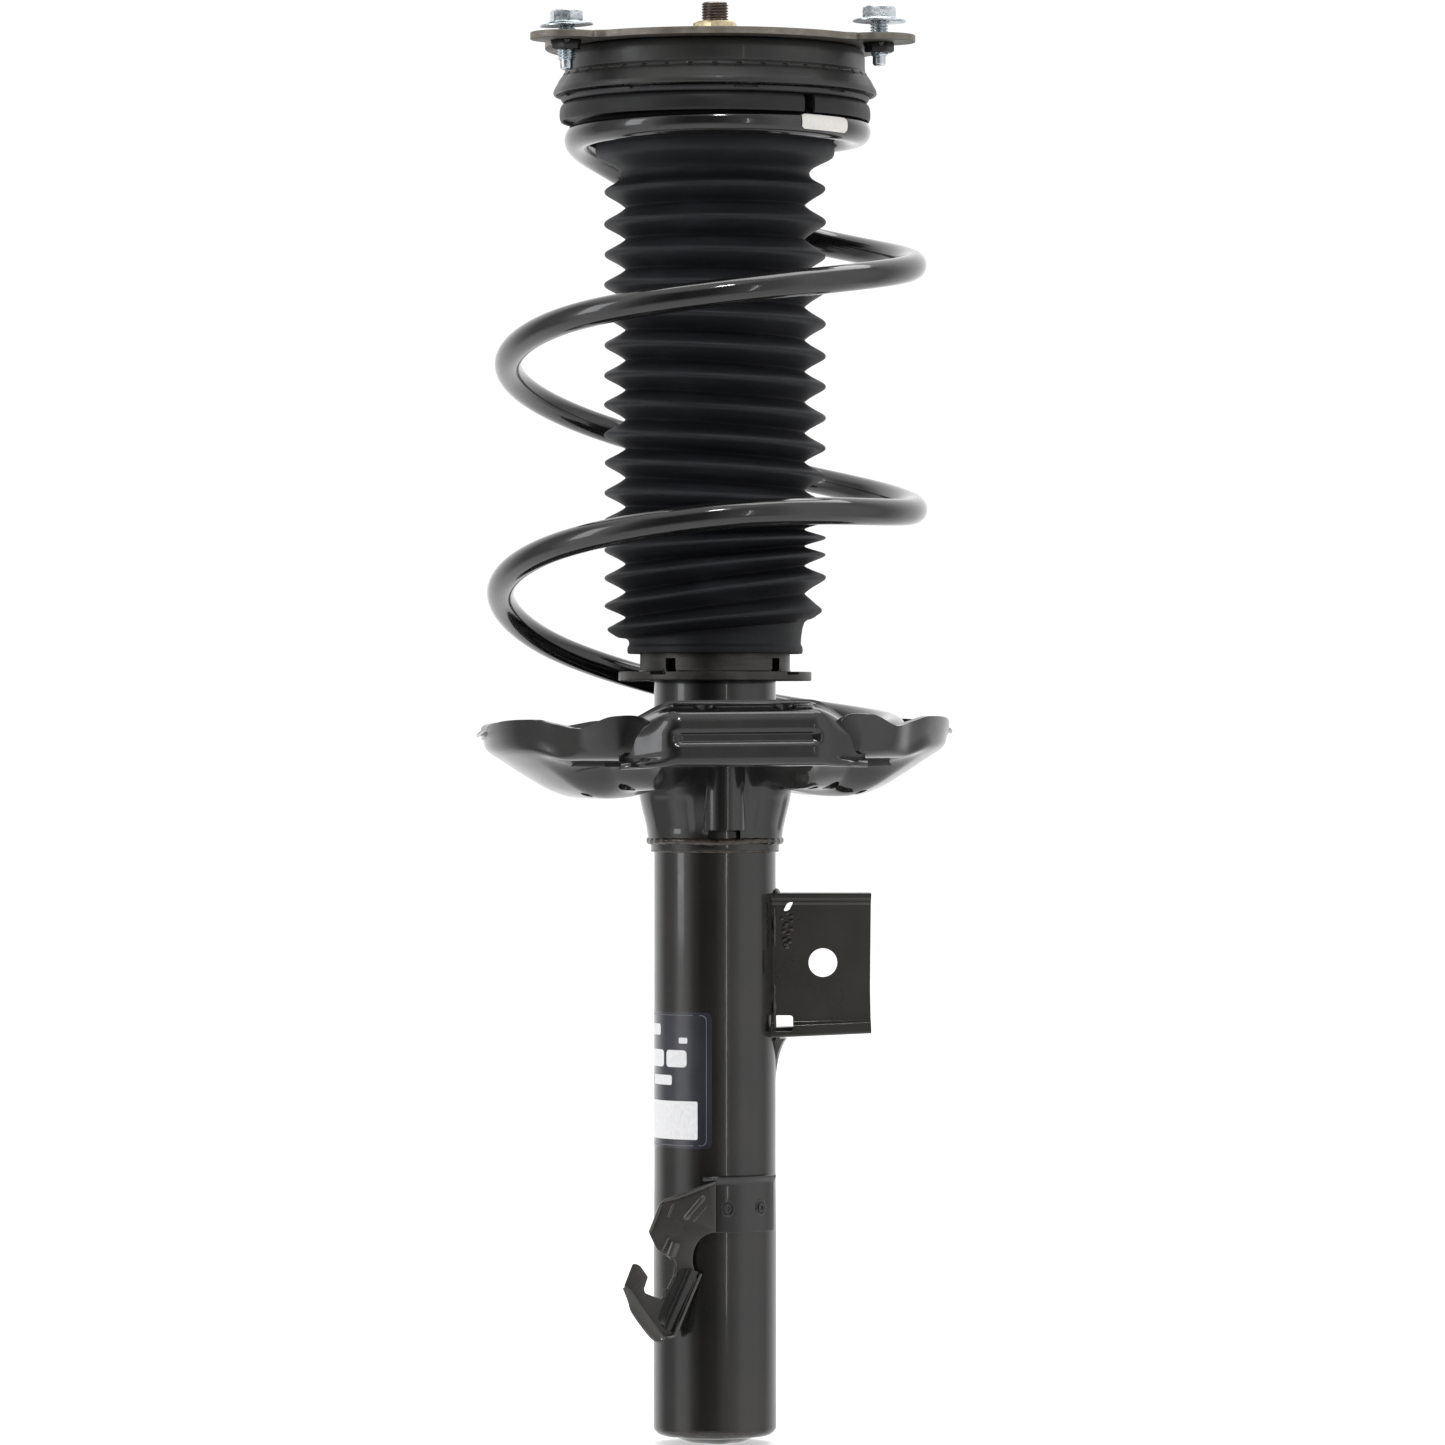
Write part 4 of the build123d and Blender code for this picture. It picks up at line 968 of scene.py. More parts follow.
# ================================================================ link bracket
def build_link_bracket():
    low, high = span("link_bracket")
    front, back = low[1], high[1]
    bottom, top = low[2], high[2]
    right = high[0]
    sheet = 4.0
    lip = front - 1.7
    web = [bottom + 8 + (top - bottom - 16) * i / 8 for i in range(9)]
    outline = rounded(
        [
            (lip, bottom, 1.2), (back, bottom, 0.5), (back, bottom + sheet, 0.5),
            (front + sheet, bottom + sheet, 1.5), *[(front + sheet, z, 0) for z in web],
            (front + sheet, top - sheet, 1.5), (back, top - sheet, 0.5), (back, top, 0.5),
            (lip, top, 0.8), (lip, top - 2.4, 0.4), (front - 0.7, top - 3.0, 0.3),
            (front - 0.7, top - 4.4, 0.3),
            (front, top - 5.0, 0.4), *[(front, z, 0) for z in reversed(web)],
            (front, bottom + 6.6, 0.6), (lip, bottom + 5.0, 0.4),
        ],
        0.5, 5,
    )
    middle = (bottom + top) / 2

    def place(u, v, w):
        """The near end meets the tube, the far end is a little hollow."""
        if w < right:
            return (sqrt(max((BODY_R - 0.6) ** 2 - u ** 2, 0.0)), u, v)
        hollow = 0.7 * (1 - ((v - middle) / (top - middle)) ** 2)
        return (w - hollow, u, v + 2.0 * (1 - ease(bottom + 5.2, bottom + 9, v)))

    shell = moved(prism(outline, 20.0, right), place)
    bracket = make_piece("link_channel", shell, "bracket", None)
    hole = [prism(circle(48.1, 207.0, 6.4, 64), 0, 20)]
    notch = rounded([(26, 176.2), (34.8, 176.2), (34.8, 183.5), (26, 183.5)], 1.6, 6)
    lens = rounded([(30.4, 229.8), (33, 230.2), (35, 234.2), (32.2, 233.6)], 1.2, 6)
    hole += [prism(notch, 0, 20), prism(lens, 0, 20)]
    cut_away(bracket, moved(joined(*hole), lambda u, v, w: (u, 2 - w, v)))
    soften_edges(bracket, 0.4, 40)
    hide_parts("link_bracket")
    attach(bracket, TUBE)

    # Weld beads where the channel meets the tube, and spatter beside the upper one.
    shells = []
    for z0, z1, y in ((176, 199, front + 1.2), (212, 233, front + 1.2)):
        path = [(sqrt(BODY_R ** 2 - y * y) + 0.5, y - 0.4, z0 + (z1 - z0) * i / 14) for i in range(15)]
        shells.append(bead(path, 2.4, 0.16, seed=z0))
    for z in (bottom - 0.4, top + 0.2):
        path = [(sqrt(BODY_R ** 2 - y * y) + 0.5, y, z) for y in range(int(front) + 1, int(back), 1)]
        shells.append(bead(path, 3.2, 0.2, seed=z))
    for i in range(14):
        turn = i * 2.4
        x = 32.2 + 2.6 * sin(turn) * (1 - i / 20)
        z = 229 - 1.15 * i
        size = 0.8 + 0.5 * abs(sin(3.1 * i))
        shells.append(dome((x, z), (x, z), 2 * size, 0.7 * size,
                           lambda u, v, lift: (u, front - lift, v), 8, 8))
    make_piece("link_welds", joined(*shells), "weld", TUBE)
    # Small gusset where the lower flange runs out on the tube.
    path = [(27.2 + 5.2 * (1 - i / 9) ** 2, 1.0, bottom - 0.5 - 20 * (i / 9) ** 1.2) for i in range(10)]
    rows = []
    for x, y, z in path:
        wide = 1.2 + 5.0 * ((x - 27.2) / 5.2)
        rows.append([(x - abs(k) * 0.5, y + wide * k / 2, z) for k in (-2, -1, 0, 1, 2)]
                    + [(26.4, y + wide, z), (26.4, y - wide, z)])
    make_piece("link_gusset", tube_skin(rows), "bracket", TUBE)


# ================================================================ hose bracket
def build_hose_bracket():
    band_low, band_high = 88.0, 113.0
    section = rounded(
        [
            (BODY_R + 0.3, band_low), (29.5, band_low), (29.5, band_high - 3.4, 1.0),
            (31.0, band_high - 0.6, 1.2), (30.4, band_high), (BODY_R + 0.3, band_high - 1.6, 1.0),
        ],
        0.4,
    )
    shells = [lathe(section, 72, -100, 72)]
    # Spot welds on the band: a dimple inside a squeezed-out ring.
    for middle, ring_r in ((-79.2, 2.7), (-46.6, 2.5)):
        for start_r, lift in ((ring_r, 0.55), (ring_r * 0.52, 0.75)):
            rows = []
            for i in range(25):
                turn = tau * i / 24
                row = []
                for j in range(7):
                    swing = pi * j / 6
                    reach = start_r + 0.55 * cos(swing)
                    angle = middle + degrees(reach * cos(turn) / 29.5)
                    row.append(around(angle, 29.45 + lift * sin(swing), 98.8 + 1.25 * reach * sin(turn)))
                rows.append(row)
            shells.append(skin(rows))
    make_piece("hose_band", joined(*shells), "seat", TUBE)

    face_y, back_y = -30.6, -28.3

    def upright(u, v, w):
        return (u, (face_y + back_y) / 2 - w, v)

    arm = rounded(
        [
            (0.4, 111.2, 1), (-6.7, 108.7, 6), (-20.6, 103.6, 3), (-24.2, 101.4, 1.2), (-29.4, 88.4, 1.0),
            (-25.8, 81.0, 1.0), (-23.4, 79.0, 0.8), (-17.6, 75.8, 0.6), (-17.0, 72.8, 0.5),
            (-19.6, 67.0, 1.6), (-22.0, 62.0, 0.8), (-24.0, 58.8, 0.5), (-26.4, 59.6, 0.4),
            (-30.8, 61.4, 0.6), (-31.4, 63.2, 0.6), (-29.6, 68.6, 0.6), (-33.4, 74.0, 1.4),
            (-36.4, 74.6, 1.0), (-40.4, 64.2, 1.2), (-24.4, 40.8, 2.0), (-18.4, 43.2, 1.5),
            (-7.6, 68.0, 1.5), (-10.0, 74.0, 3), (-9.6, 80.6, 4), (-6.0, 86.4, 3), (-0.8, 88.4, 1.5),
            (0.4, 88.6, 0.3),
        ],
        0.8,
    )
    shells = [moved(plate([arm], back_y - face_y, 0.45), upright)]

    def rim(path, depth, thick=2.0):
        """Flange along a path of (x, z) points, bent towards the front."""
        rows = []
        for i, (x, z) in enumerate(path):
            ahead = Vector(path[min(i + 1, len(path) - 1)]) - Vector(path[max(i - 1, 0)])
            side = Vector((-ahead.y, ahead.x)).normalized() * thick
            near = face_y - depth * min(1.0, 0.35 + 1.6 * min(i, len(path) - 1 - i) / (len(path) - 1))
            ring = [
                (0.0, back_y), (0.0, near + 0.5), (0.1, near + 0.16), (0.5, near - 0.1),
                (0.9, near + 0.16), (1.0, near + 0.5), (1.0, back_y),
            ]
            rows.append([(x + side.x * t, y, z + side.y * t) for t, y in ring])
        return tube_skin(rows)

    def on_face(u, v, lift):
        return (u, face_y - lift, v)

    # Flanges round the strip's lower edge, the trough beside it and the arm's upper edge.
    flange = smooth_line([(-20.8, 41.4), (-18.2, 41.9), (-16.4, 44.0), (-11.6, 55.4), (-5.5, 69.8)], 6)
    shells.append(rim(flange, 3.0, 1.25))
    # Lower strip: a band bent towards the front, from its fold to its outer edge.
    outer = [(-40.8, 63.6), (-38.6, 58.0), (-36.6, 52.4), (-29.0, 42.2), (-24.8, 39.9), (-21.6, 41.4)]
    inner = [(-38.6, 65.4), (-35.4, 61.0), (-32.4, 56.4), (-26.4, 48.0), (-23.6, 44.6), (-21.2, 43.6)]
    # Section of the strip as (share of the way from outer to inner, y).
    bend = [
        (0, back_y), (0, face_y - 1.9), (0.1, face_y - 2.5), (0.3, face_y - 2.2), (0.85, face_y - 0.4),
        (1, face_y + 0.3), (1, back_y),
    ]
    rows = [
        [(x0 + t * (x1 - x0), y, z0 + t * (z1 - z0)) for t, y in bend]
        for (x0, z0), (x1, z1) in zip(smooth_line(outer, 6), smooth_line(inner, 6))
    ]
    shells.append(tube_skin(rows))
    # Teeth along the open side of the C, where the grommet clips in.
    for x, z, wide, tall in ((-18.8, 76.8, 2.6, 1.0), (-17.7, 70.8, 1.3, 4.6), (-22.5, 61.4, 1.4, 3.4)):
        tooth = rounded([(x - wide / 2, z - tall / 2), (x + wide / 2, z - tall / 2 + 0.4),
                         (x + wide / 2 + 0.3, z + tall / 2 + 0.4), (x - wide / 2 + 0.3, z + tall / 2)], 0.35)
        shells.append(moved(plate([tooth], 2.6, 0.3), lambda u, v, w: (u, face_y + 0.4 - w, v)))
    left_edge = [(-24.4 - 5.0 * i / 14, 101.2 - 12.6 * i / 14) for i in range(15)]
    shells.append(rim(left_edge, 1.6, 1.4))
    top_edge = [(-22.6, 102.9), (-17.0, 104.4), (-11.0, 106.6), (-5.0, 109.0), (0.2, 111.0)]
    shells.append(rim(list(reversed(top_edge)), 1.2, 1.3))
    shells.append(dome((-12.6, 95.0), (-5.4, 103.6), 3.0, 0.9, on_face))
    shells.append(dome((-9.4, 93.2), (-4.0, 99.4), 1.1, 0.5, on_face))
    shells.append(dome((-18.4, 100.6), (-20.6, 95.6), 1.2, 0.35, on_face, 10, 6))
    shells.append(dome((-19.2, 79.4), (-18.2, 82.2), 5.0, 1.6, on_face))
    shells.append(dome((-23.0, 80.4), (-20.4, 86.0), 1.5, 1.2, on_face, 14, 8))
    make_piece("hose_arm", joined(*shells), "bracket_gloss", TUBE, ["hose_bracket"])
    # Ridge pressed along the arm: two shallow slopes that meet in a round crest.
    left = [(-16.2, 72.0), (-20.0, 63.6), (-25.4, 51.2), (-22.9, 46.4)]
    crest = [(-11.0, 72.6), (-14.6, 64.2), (-19.8, 52.4), (-22.4, 45.9)]
    right = [(-7.2, 70.6), (-11.0, 61.6), (-15.2, 51.6), (-18.2, 43.9)]
    rows = []
    for l, c, r in zip(smooth_line(left, 6), smooth_line(crest, 6), smooth_line(right, 6)):
        row = []
        for j in range(25):
            s = j / 24
            side, t = (l, 1 - 2 * s) if s < 0.5 else (r, 2 * s - 1)
            crown = 1.7 * (1 - t) - 0.55 * exp(-(t * 7) ** 2)
            x, z = c[0] + (side[0] - c[0]) * t, c[1] + (side[1] - c[1]) * t
            row.append((x, face_y + 0.12 - max(crown, 0), z))
        rows.append(row)
    make_piece("hose_ridge", skin(rows), "seat", TUBE, crease=75)


# ================================================================ coil spring
WIRE_R = 6.0
COIL_HEIGHTS = [         # (angle along the wire, height of its centre)
    (-200, 305), (-90, 306.5), (0, 311), (90, 327), (135, 346), (180, 370.5), (225, 391),
    (270, 403), (360, 409.5), (410, 422.5), (460, 440), (540, 473.5), (585, 490), (630, 500),
    (720, 519), (774, 533.5), (825, 554), (861, 567.5), (900, 574.5), (960, 577.2), (1000, 577.6),
    (1230, 577.6),
]
COIL_RADII = [           # (angle, radius of the wire's centre line)
    (-200, 80), (-60, 80), (120, 90), (200, 92.5), (400, 92.5), (560, 90), (740, 88.4),
    (790, 80), (861, 65), (900, 62.3), (970, 61.6), (1230, 61.6),
]
COIL_OFFSETS = [         # (angle, sideways offset of the coil's centre along X)
    (-200, 0), (100, -3.6), (400, -3.6), (540, -2.2), (740, -2.2), (900, 1), (970, 2), (1230, 2),
]
COIL_STARTS = COIL_HEIGHTS[0][0]
COIL_ENDS = COIL_HEIGHTS[-1][0]
COIL_STEP = 3.25


def wire_centre(angle):
    radius, offset = on_curve(COIL_RADII, angle), on_curve(COIL_OFFSETS, angle)
    return Vector((
        offset + radius * cos(radians(angle)), radius * sin(radians(angle)), on_curve(COIL_HEIGHTS, angle),
    ))


def build_spring():
    sides = 32
    count = round((COIL_ENDS - COIL_STARTS) / COIL_STEP)
    angles = [COIL_STARTS + (COIL_ENDS - COIL_STARTS) * i / count for i in range(count + 1)]
    first, last = angles[0], angles[-1]
    # Sawn ends with a broken edge.
    rings = [(first, 0.02), (first, WIRE_R - 0.7), (first + 0.35, WIRE_R)]
    rings += [(angle, WIRE_R) for angle in angles[1:-1]]
    rings += [(last - 0.45, WIRE_R), (last, WIRE_R - 0.7), (last, 0.02)]
    rows, heights = [], []
    for angle, radius in rings:
        here = wire_centre(angle)
        ahead = (wire_centre(min(angle + 1, last)) - wire_centre(max(angle - 1, first))).normalized()
        out = Vector((here.x, here.y, 0)).normalized()
        side = (out - ahead * out.dot(ahead)).normalized()
        up = ahead.cross(side)
        rows.append([
            tuple(here + side * radius * cos(tau * j / sides) + up * radius * sin(tau * j / sides))
            for j in range(sides)
        ])
        heights += [here.z] * sides
    spring = new_object("spring_wire", tube_skin(rows), "spring")
    work = bmesh.new()
    work.from_mesh(spring.data)
    bmesh.ops.recalc_face_normals(work, faces=work.faces)
    for face in work.faces:
        face.smooth = True
    work.to_mesh(spring.data)
    work.free()
    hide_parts("coil_spring")
    low, high = COIL_HEIGHTS[2][1], COIL_HEIGHTS[-2][1]
    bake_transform(spring, TUBE, SEAT, start=(0, 0, low * MM), end=(0, 0, high * MM))
    # Each cross-section moves as a whole, so that the wire stays round as the coils close.
    share_by_height(spring, heights, low, high)


# ================================================================ dust boot
BOOT_WALL = 1.4
BOOT_PEAK_R = 49.7
BOOT_VALLEY_R = 39.9
PEAKS = [                # height of each fold's rim on the left and on the right, lowest first
    (355.6, 364), (366, 379), (378.5, 389), (391, 396.5), (404, 404), (416.5, 411.5), (430, 424),
    (442.5, 436.5), (456, 450), (469, 464), (482.5, 477.5), (496, 492), (509.5, 507), (523, 522.3),
    (536.5, 537.5), (551, 552.5),
]


def build_boot():
    low, high = span("dust_boot")
    bottom, top = low[2], high[2]

    def peak(i, angle):
        left, right = PEAKS[i]
        return (left + right) / 2 + (right - left) / 2 * cos(radians(angle))

    def outline(angle):
        """Outer line of the boot at an angle, from the collar up."""
        line = [(39.3, bottom), (39.3, bottom + 3.4), (38.5, bottom + 4.0), (38.4, bottom + 5.0)]
        last = len(PEAKS) - 1
        first_peak = peak(0, angle)
        line.append((38.5, min(first_peak - 5.2, 352.0)))
        for i in range(last + 1):
            here = peak(i, angle)
            below = peak(i - 1, angle) if i else here - 13.0
            above = peak(i + 1, angle) if i < last else 565.0
            down, up = (here - below) / 2, (above - here) / 2
            wave = 0.35 * noise.noise(Vector((cos(radians(angle)) * 1.5, sin(radians(angle)) * 1.5, i * 3.7)))
            rim = BOOT_PEAK_R + wave - (1.5 if i == 0 else 0.0)
            if i == 0:
                line.append((39.6, here - 3.9))
            line += [
                (BOOT_VALLEY_R + 3.2, here - down * 0.64), (rim - 2.6, here - down * 0.34),
                (rim - 0.55, here - down * 0.17), (rim, here), (rim - 0.55, here + up * 0.17),
                (rim - 2.6, here + up * 0.34), (BOOT_VALLEY_R + 3.2, here + up * 0.64),
            ]
            if i < last:
                valley = here + up
                line += [
                    (BOOT_VALLEY_R + 0.6, valley - 0.55), (BOOT_VALLEY_R, valley),
                    (BOOT_VALLEY_R + 0.6, valley + 0.55),
                ]
        line += [(41.5, 559.6), (44, 562.2), (50, 564.8), (53.0, 566.4), (53.5, 568), (53.5, top)]
        return line

    steps = 160
    rows = []
    for i in range(steps):
        angle = 360 * i / steps
        outer = outline(angle)
        inner = [
            (max(r - BOOT_WALL, 37.0 if z < 353 else 38.2), z + (0.25 if z < top - 1 else 0))
            for r, z in outer
        ]
        inner[-3:] = [(50.2, 567.4), (50.6, 568.4), (50.6, top)]
        rows.append([around(angle, r, z) for r, z in outer + list(reversed(inner))])
    boot = new_object("boot_bellows", skin(rows, ring_of_rows=True, ring_of_columns=True), "boot")
    tidy_mesh(boot.data, 62)
    smooth = boot.modifiers.new("rounding", "SUBSURF")
    smooth.levels = 1
    apply_modifiers(boot)
    for polygon in boot.data.polygons:
        polygon.use_smooth = True
    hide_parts("dust_boot")
    start, end = bottom + 7, top - 9
    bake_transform(boot, TUBE, SEAT, start=(0, 0, start * MM), end=(0, 0, end * MM))
    # Each point's share grows in step with its own height, so that the folds close evenly.
    share_by_height(boot, [vertex.co.z / MM for vertex in boot.data.vertices], start, end)


def build_bump_stop():
    low, high = span("bump_stop")
    bottom, top = low[2], high[2]
    line = [
        (11.7, bottom + 3), (12.4, bottom + 0.6), (14.6, bottom), (17.6, bottom + 4), (19.2, bottom + 12),
        (16.8, bottom + 18), (20.6, bottom + 24), (22.4, bottom + 32), (19.0, bottom + 39),
        (22.6, bottom + 47), (24.4, bottom + 56), (20.2, bottom + 63), (23.6, bottom + 69), (24.8, top - 4),
        (24.8, top),
    ]
    outer = smooth_line(line, 5)
    section = outer + [(11.7, top)]
    stop = make_piece("bump_stop_foam", lathe(section, 96), "foam", None, crease=60)
    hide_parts("bump_stop")
    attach(stop, SEAT)
    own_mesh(stop)


# ================================================================ upper seat, isolator and tag
def build_upper_seat():
    low, high = span("upper_spring_seat")
    bottom, top = high[2] - 3.2, high[2]
    rim_r = high[0]
    section = rounded(
        [
            (48, low[2]), (50, low[2]), (50, bottom, 1.5), (67.8, bottom, 0.6),
            (rim_r - 0.2, bottom + 1.2, 0.6),
            (rim_r, top - 0.6), (rim_r - 1.2, top), (24, top), (24, top - 2.4), (48, top - 2.4, 1.0),
        ],
        0.5, 5,
    )

    def slotted(radius, height, angle):
        for i in range(9):
            middle = -118.5 + 40.0 * i
            off = (angle - middle + 180) % 360 - 180
            depth = bump(off, 0, 3.9, 0.5) * bump(height, top - 0.95, 0.42, 0.3)
            if radius > rim_r - 1.3:
                radius -= 1.3 * depth
        return radius, height

    make_piece("spring_seat_ring", lathe(section, 720, shape=slotted), "race", SEAT,
               ["upper_spring_seat"])

    low, high = span("spring_isolator")
    bottom, top, outer_r = low[2], high[2], high[0]
    section = rounded(
        [
            (50.2, bottom + 2.1), (58, bottom + 2.1), (67.6, bottom + 2.1, 0.4), (67.9, bottom + 0.3, 0.5),
            (68.8, bottom, 0.5), (outer_r - 0.1, bottom + 1.4, 1.2), (outer_r, bottom + 4.2, 2.0),
            (outer_r - 0.5, bottom + 6.8, 2.0), (outer_r - 1.8, top - 0.4, 1.0), (66.5, top), (50.2, top),
        ],
        0.5, 5,
    )
    gap = 5.4 / 66
    shell = lathe(section, 300, -53 + degrees(gap / 2), 360 - degrees(gap))
    make_piece("isolator_ring", shell, "isolator", SEAT, ["spring_isolator"])


def build_tag():
    """Paper tag stuck on the top coil, with rounded corners."""
    centre_x, coil_r, coil_z = COIL_OFFSETS[-1][1], COIL_RADII[-1][1], COIL_HEIGHTS[-1][1]
    start, turn = -57.5, 24.0
    columns, rows = 40, 14
    outside, inside = [], []
    for i in range(columns + 1):
        share = i / columns
        angle = start + turn * share
        near = min(share, 1 - share) * turn
        cut = max(0.0, 1 - near / 1.6) ** 2 * 11
        low, high = -28 + cut - 5 * share, 36 - cut - 5 * share
        for line, radius in ((outside, WIRE_R + 0.34), (inside, WIRE_R + 0.14)):
            row = []
            for j in range(rows + 1):
                lift = radians(low + (high - low) * j / rows)
                r = coil_r + radius * cos(lift)
                x, y, z = around(angle, r, coil_z + radius * sin(lift))
                row.append((x + centre_x, y, z))
            line.append(row)
    shell = tube_skin([a + list(reversed(b)) for a, b in zip(outside, inside)])
    make_piece("coil_tag", shell, "tag", SEAT, ["spring_tag"], crease=50)


# ================================================================ top mount
BOLT_CIRCLE_R = 80.0
FIRST_BOLT_ANGLE = -24.8
BOLT_ANGLES = [FIRST_BOLT_ANGLE + 120 * i for i in range(3)]
BOLT_LIFTS = [0.0, -1.5, -3.0]
BOLT_LENGTH = 20.8
PLATE_BOTTOM, PLATE_TOP = span("mount_plate")[0][2], span("mount_plate")[1][2]


def build_housing():
    section = rounded(
        [
            (71.0, 593.8, 0.2), (72.0, 593.9, 0.3), (72.3, 594.8, 0.4), (71.9, 596.4, 0.8),
            (71.4, 597.2, 0.8), (69.4, 600.9, 1.4), (68.6, 601.9, 0.1), (68.0, 602.1, 0.1),
            (68.2, 602.55, 0.1), (67.8, 603.3, 0.4),
            (67.5, 603.8, 0.1), (67.0, 604.0, 0.1), (67.15, 604.4, 0.1), (67.0, 606, 0.6), (67.0, 611, 1.5),
            (66, 613.6, 1), (64, PLATE_BOTTOM, 0.4), (38, PLATE_BOTTOM), (38, 612.1), (63, 612.1, 1.0),
            (64.5, 610.4), (64.5, 605.4, 1), (66.4, 601.6, 1), (69.0, 597.6, 1), (70.2, 595.6, 0.6),
        ],
        0.4, 3,
    )

    def notched(radius, height, angle):
        off = (angle + 4.5) % 9 - 4.5
        dent = bump(off, 0, 0.8, 0.4) * bump(height, 602.25, 0.4, 0.3)
        if radius > 66:
            radius -= 0.8 * dent
        return radius, height

    make_piece("housing_cup", lathe(section, 720, shape=notched), "housing", MOUNT,
               ["mount_housing"])


def build_plate():
    ear_r, plate_r, hole_r = 16.0, 76.0, 31.0
    outline = []
    for i in range(720):
        angle = i / 2
        radius = plate_r
        for middle in BOLT_ANGLES:
            off = radians((angle - middle + 180) % 360 - 180)
            across = BOLT_CIRCLE_R * sin(off)
            if abs(off) < 1 and abs(across) < ear_r:
                tip = BOLT_CIRCLE_R * cos(off) + sqrt(ear_r ** 2 - across ** 2)
                radius = max(radius, tip)
            # A fillet runs from the ear's side into the round plate.
            radius += 2.6 * exp(-((abs(degrees(off)) - 12.6) / 2.4) ** 2) if radius == plate_r else 0.0
        outline.append((radius * cos(radians(angle)), radius * sin(radians(angle))))
    holes = [circle(0, 0, hole_r, 96)]
    for angle in BOLT_ANGLES:
        x, y, _ = around(angle, BOLT_CIRCLE_R, 0)
        holes.append(circle(x, y, 4.5, 40))
    middle = (PLATE_BOTTOM + PLATE_TOP) / 2
    shell = plate([outline] + holes, PLATE_TOP - PLATE_BOTTOM, 0.4)
    shell = moved(shell, lambda x, y, z: (x, y, z + middle))
    mount = make_piece("mount_flange", shell, "plate", MOUNT, ["mount_plate"], crease=30)
    mount.data.materials.append(M["plate_edge"])
    for polygon in mount.data.polygons:
        if abs(polygon.normal.z) < 0.6:
            polygon.material_index = 1


def build_fasteners():
    """Bolts with captive washers and weld nuts under the plate."""
    nut_bottom = span("weld_nuts")[0][2]
    washer_bottom = span("bolt_washers")[1][2] - 1.5
    for number, (angle, lift) in enumerate(zip(BOLT_ANGLES, BOLT_LIFTS)):
        x, y, _ = around(angle, BOLT_CIRCLE_R, 0)
        under = washer_bottom + lift
        head = hexagon((x, y), under + 1.5, under + 7.1, 13.0, 10 + 17 * number)
        flange = lathe(
            rounded([(3.0, under + 1.3), (8.0, under + 1.3), (8.0, under + 1.7, 0.4), (6.4, under + 2.6, 0.6),
                     (3.0, under + 2.6)], 0.25),
            64, centre=(x, y),
        )
        stud = thread((x, y), under + 1.5 - BOLT_LENGTH + 4.2, under + 1.4, 4.0, 1.25, 2.9)
        make_piece(f"bolt_{number + 1}", joined(head, flange, stud), "zinc", MOUNT,
                   ["tower_bolts"] if number == 0 else (), crease=30)
        tilt = Matrix.Rotation(radians((1.0, -1.5, 3.4)[number]), 3, Vector((-y, x, 0)).normalized())
        middle = Vector((x, y, under + 0.75))
        washer = lathe(
            rounded([(4.2, under + 0.5), (10.6, under - 0.02, 1.0), (11.8, under, 0.3),
                     (11.8, under + 1.0, 0.3), (10.6, under + 1.2, 1.0), (4.2, under + 1.5)], 0.2),
            72, centre=(x, y),
        )
        washer = moved(washer, lambda u, v, w, t=tilt, m=middle: tuple(t @ (Vector((u, v, w)) - m) + m))
        make_piece(f"washer_{number + 1}", washer, "zinc", MOUNT,
                   ["bolt_washers"] if number == 0 else (), crease=30)
        nut = hexagon((x, y), nut_bottom, PLATE_BOTTOM, 11.4, 40 * number, 3.95, True)
        beads = []
        for k in range(3):
            tip = around(angle + 180 + 120 * k, 6.1, 0)
            nub = (x + tip[0], y + tip[1])
            beads.append(lathe(rounded([(0, PLATE_BOTTOM - 2.4, 0), (1.3, PLATE_BOTTOM - 1.6),
                                        (1.7, PLATE_BOTTOM), (0, PLATE_BOTTOM, 0)], 0.5), 20, centre=nub))
        make_piece(f"weld_nut_{number + 1}", joined(nut, *beads), "nut", MOUNT,
                   ["weld_nuts"] if number == 0 else (), crease=30)


def build_rod():
    low, high = span("piston_rod")
    rod_r, top = high[0], high[2]
    line = rounded(
        [
            (0, low[2], 0), (5, low[2]), (5, 286, 0.2), (rod_r, 286.8, 0.4), (rod_r, 294.7, 0.1),
            (10, 294.7, 0.1), (10, 297, 0.1), (rod_r, 297, 0.1), (rod_r, 595), (10, 596, 0.3), (7, 596, 0.2),
            (7, 614), (5.2, 616.4), (0, 616.4, 0),
        ],
        0.5, 3,
    )
    make_piece("rod_shaft", lathe(line, 96), "chrome", MOUNT, ["piston_rod"], crease=30)
    stud = thread((0, 0), 616.0, top, 6.0, 1.25)
    make_piece("rod_thread", stud, "thread", MOUNT, crease=30)
    low, high = span("rod_nut")
    nut = hexagon((0, 0), low[2] + 1.6, high[2], 18.0, 20, 5.95)
    flange = lathe(
        rounded([(5.95, low[2]), (13.4, low[2], 0.3), (13.4, low[2] + 1.2, 0.5), (9.4, low[2] + 2.8, 0.8),
                 (5.95, low[2] + 2.8)], 0.3), 72,
    )
    make_piece("rod_lock_nut", joined(nut, flange), "yellow_zinc", MOUNT, ["rod_nut"],
               crease=30)
    low, high = span("rod_washer")
    section = rounded([(6.2, low[2]), (19, low[2]), (19, high[2] - 0.4, 0.4), (14, high[2]),
                       (6.2, high[2])], 0.4)
    make_piece("rod_plate_washer", lathe(section, 96), "steel", MOUNT, ["rod_washer"])
    section = smooth_line([
        (17.0, 600.2), (21, 599.9), (26, 600.3), (33, 601.6), (40, 603.9), (42.7, 605.4), (42.8, 611.9),
        (38.2, 612.05), (37.7, 613.2), (34, 613.9), (30, 613.6), (26, 611.6), (21, 611.2), (17.0, 612.4),
    ], 4)
    make_piece("mount_bush", lathe(section, 144), "isolator", MOUNT, ["mount_rubber"],
               crease=50)


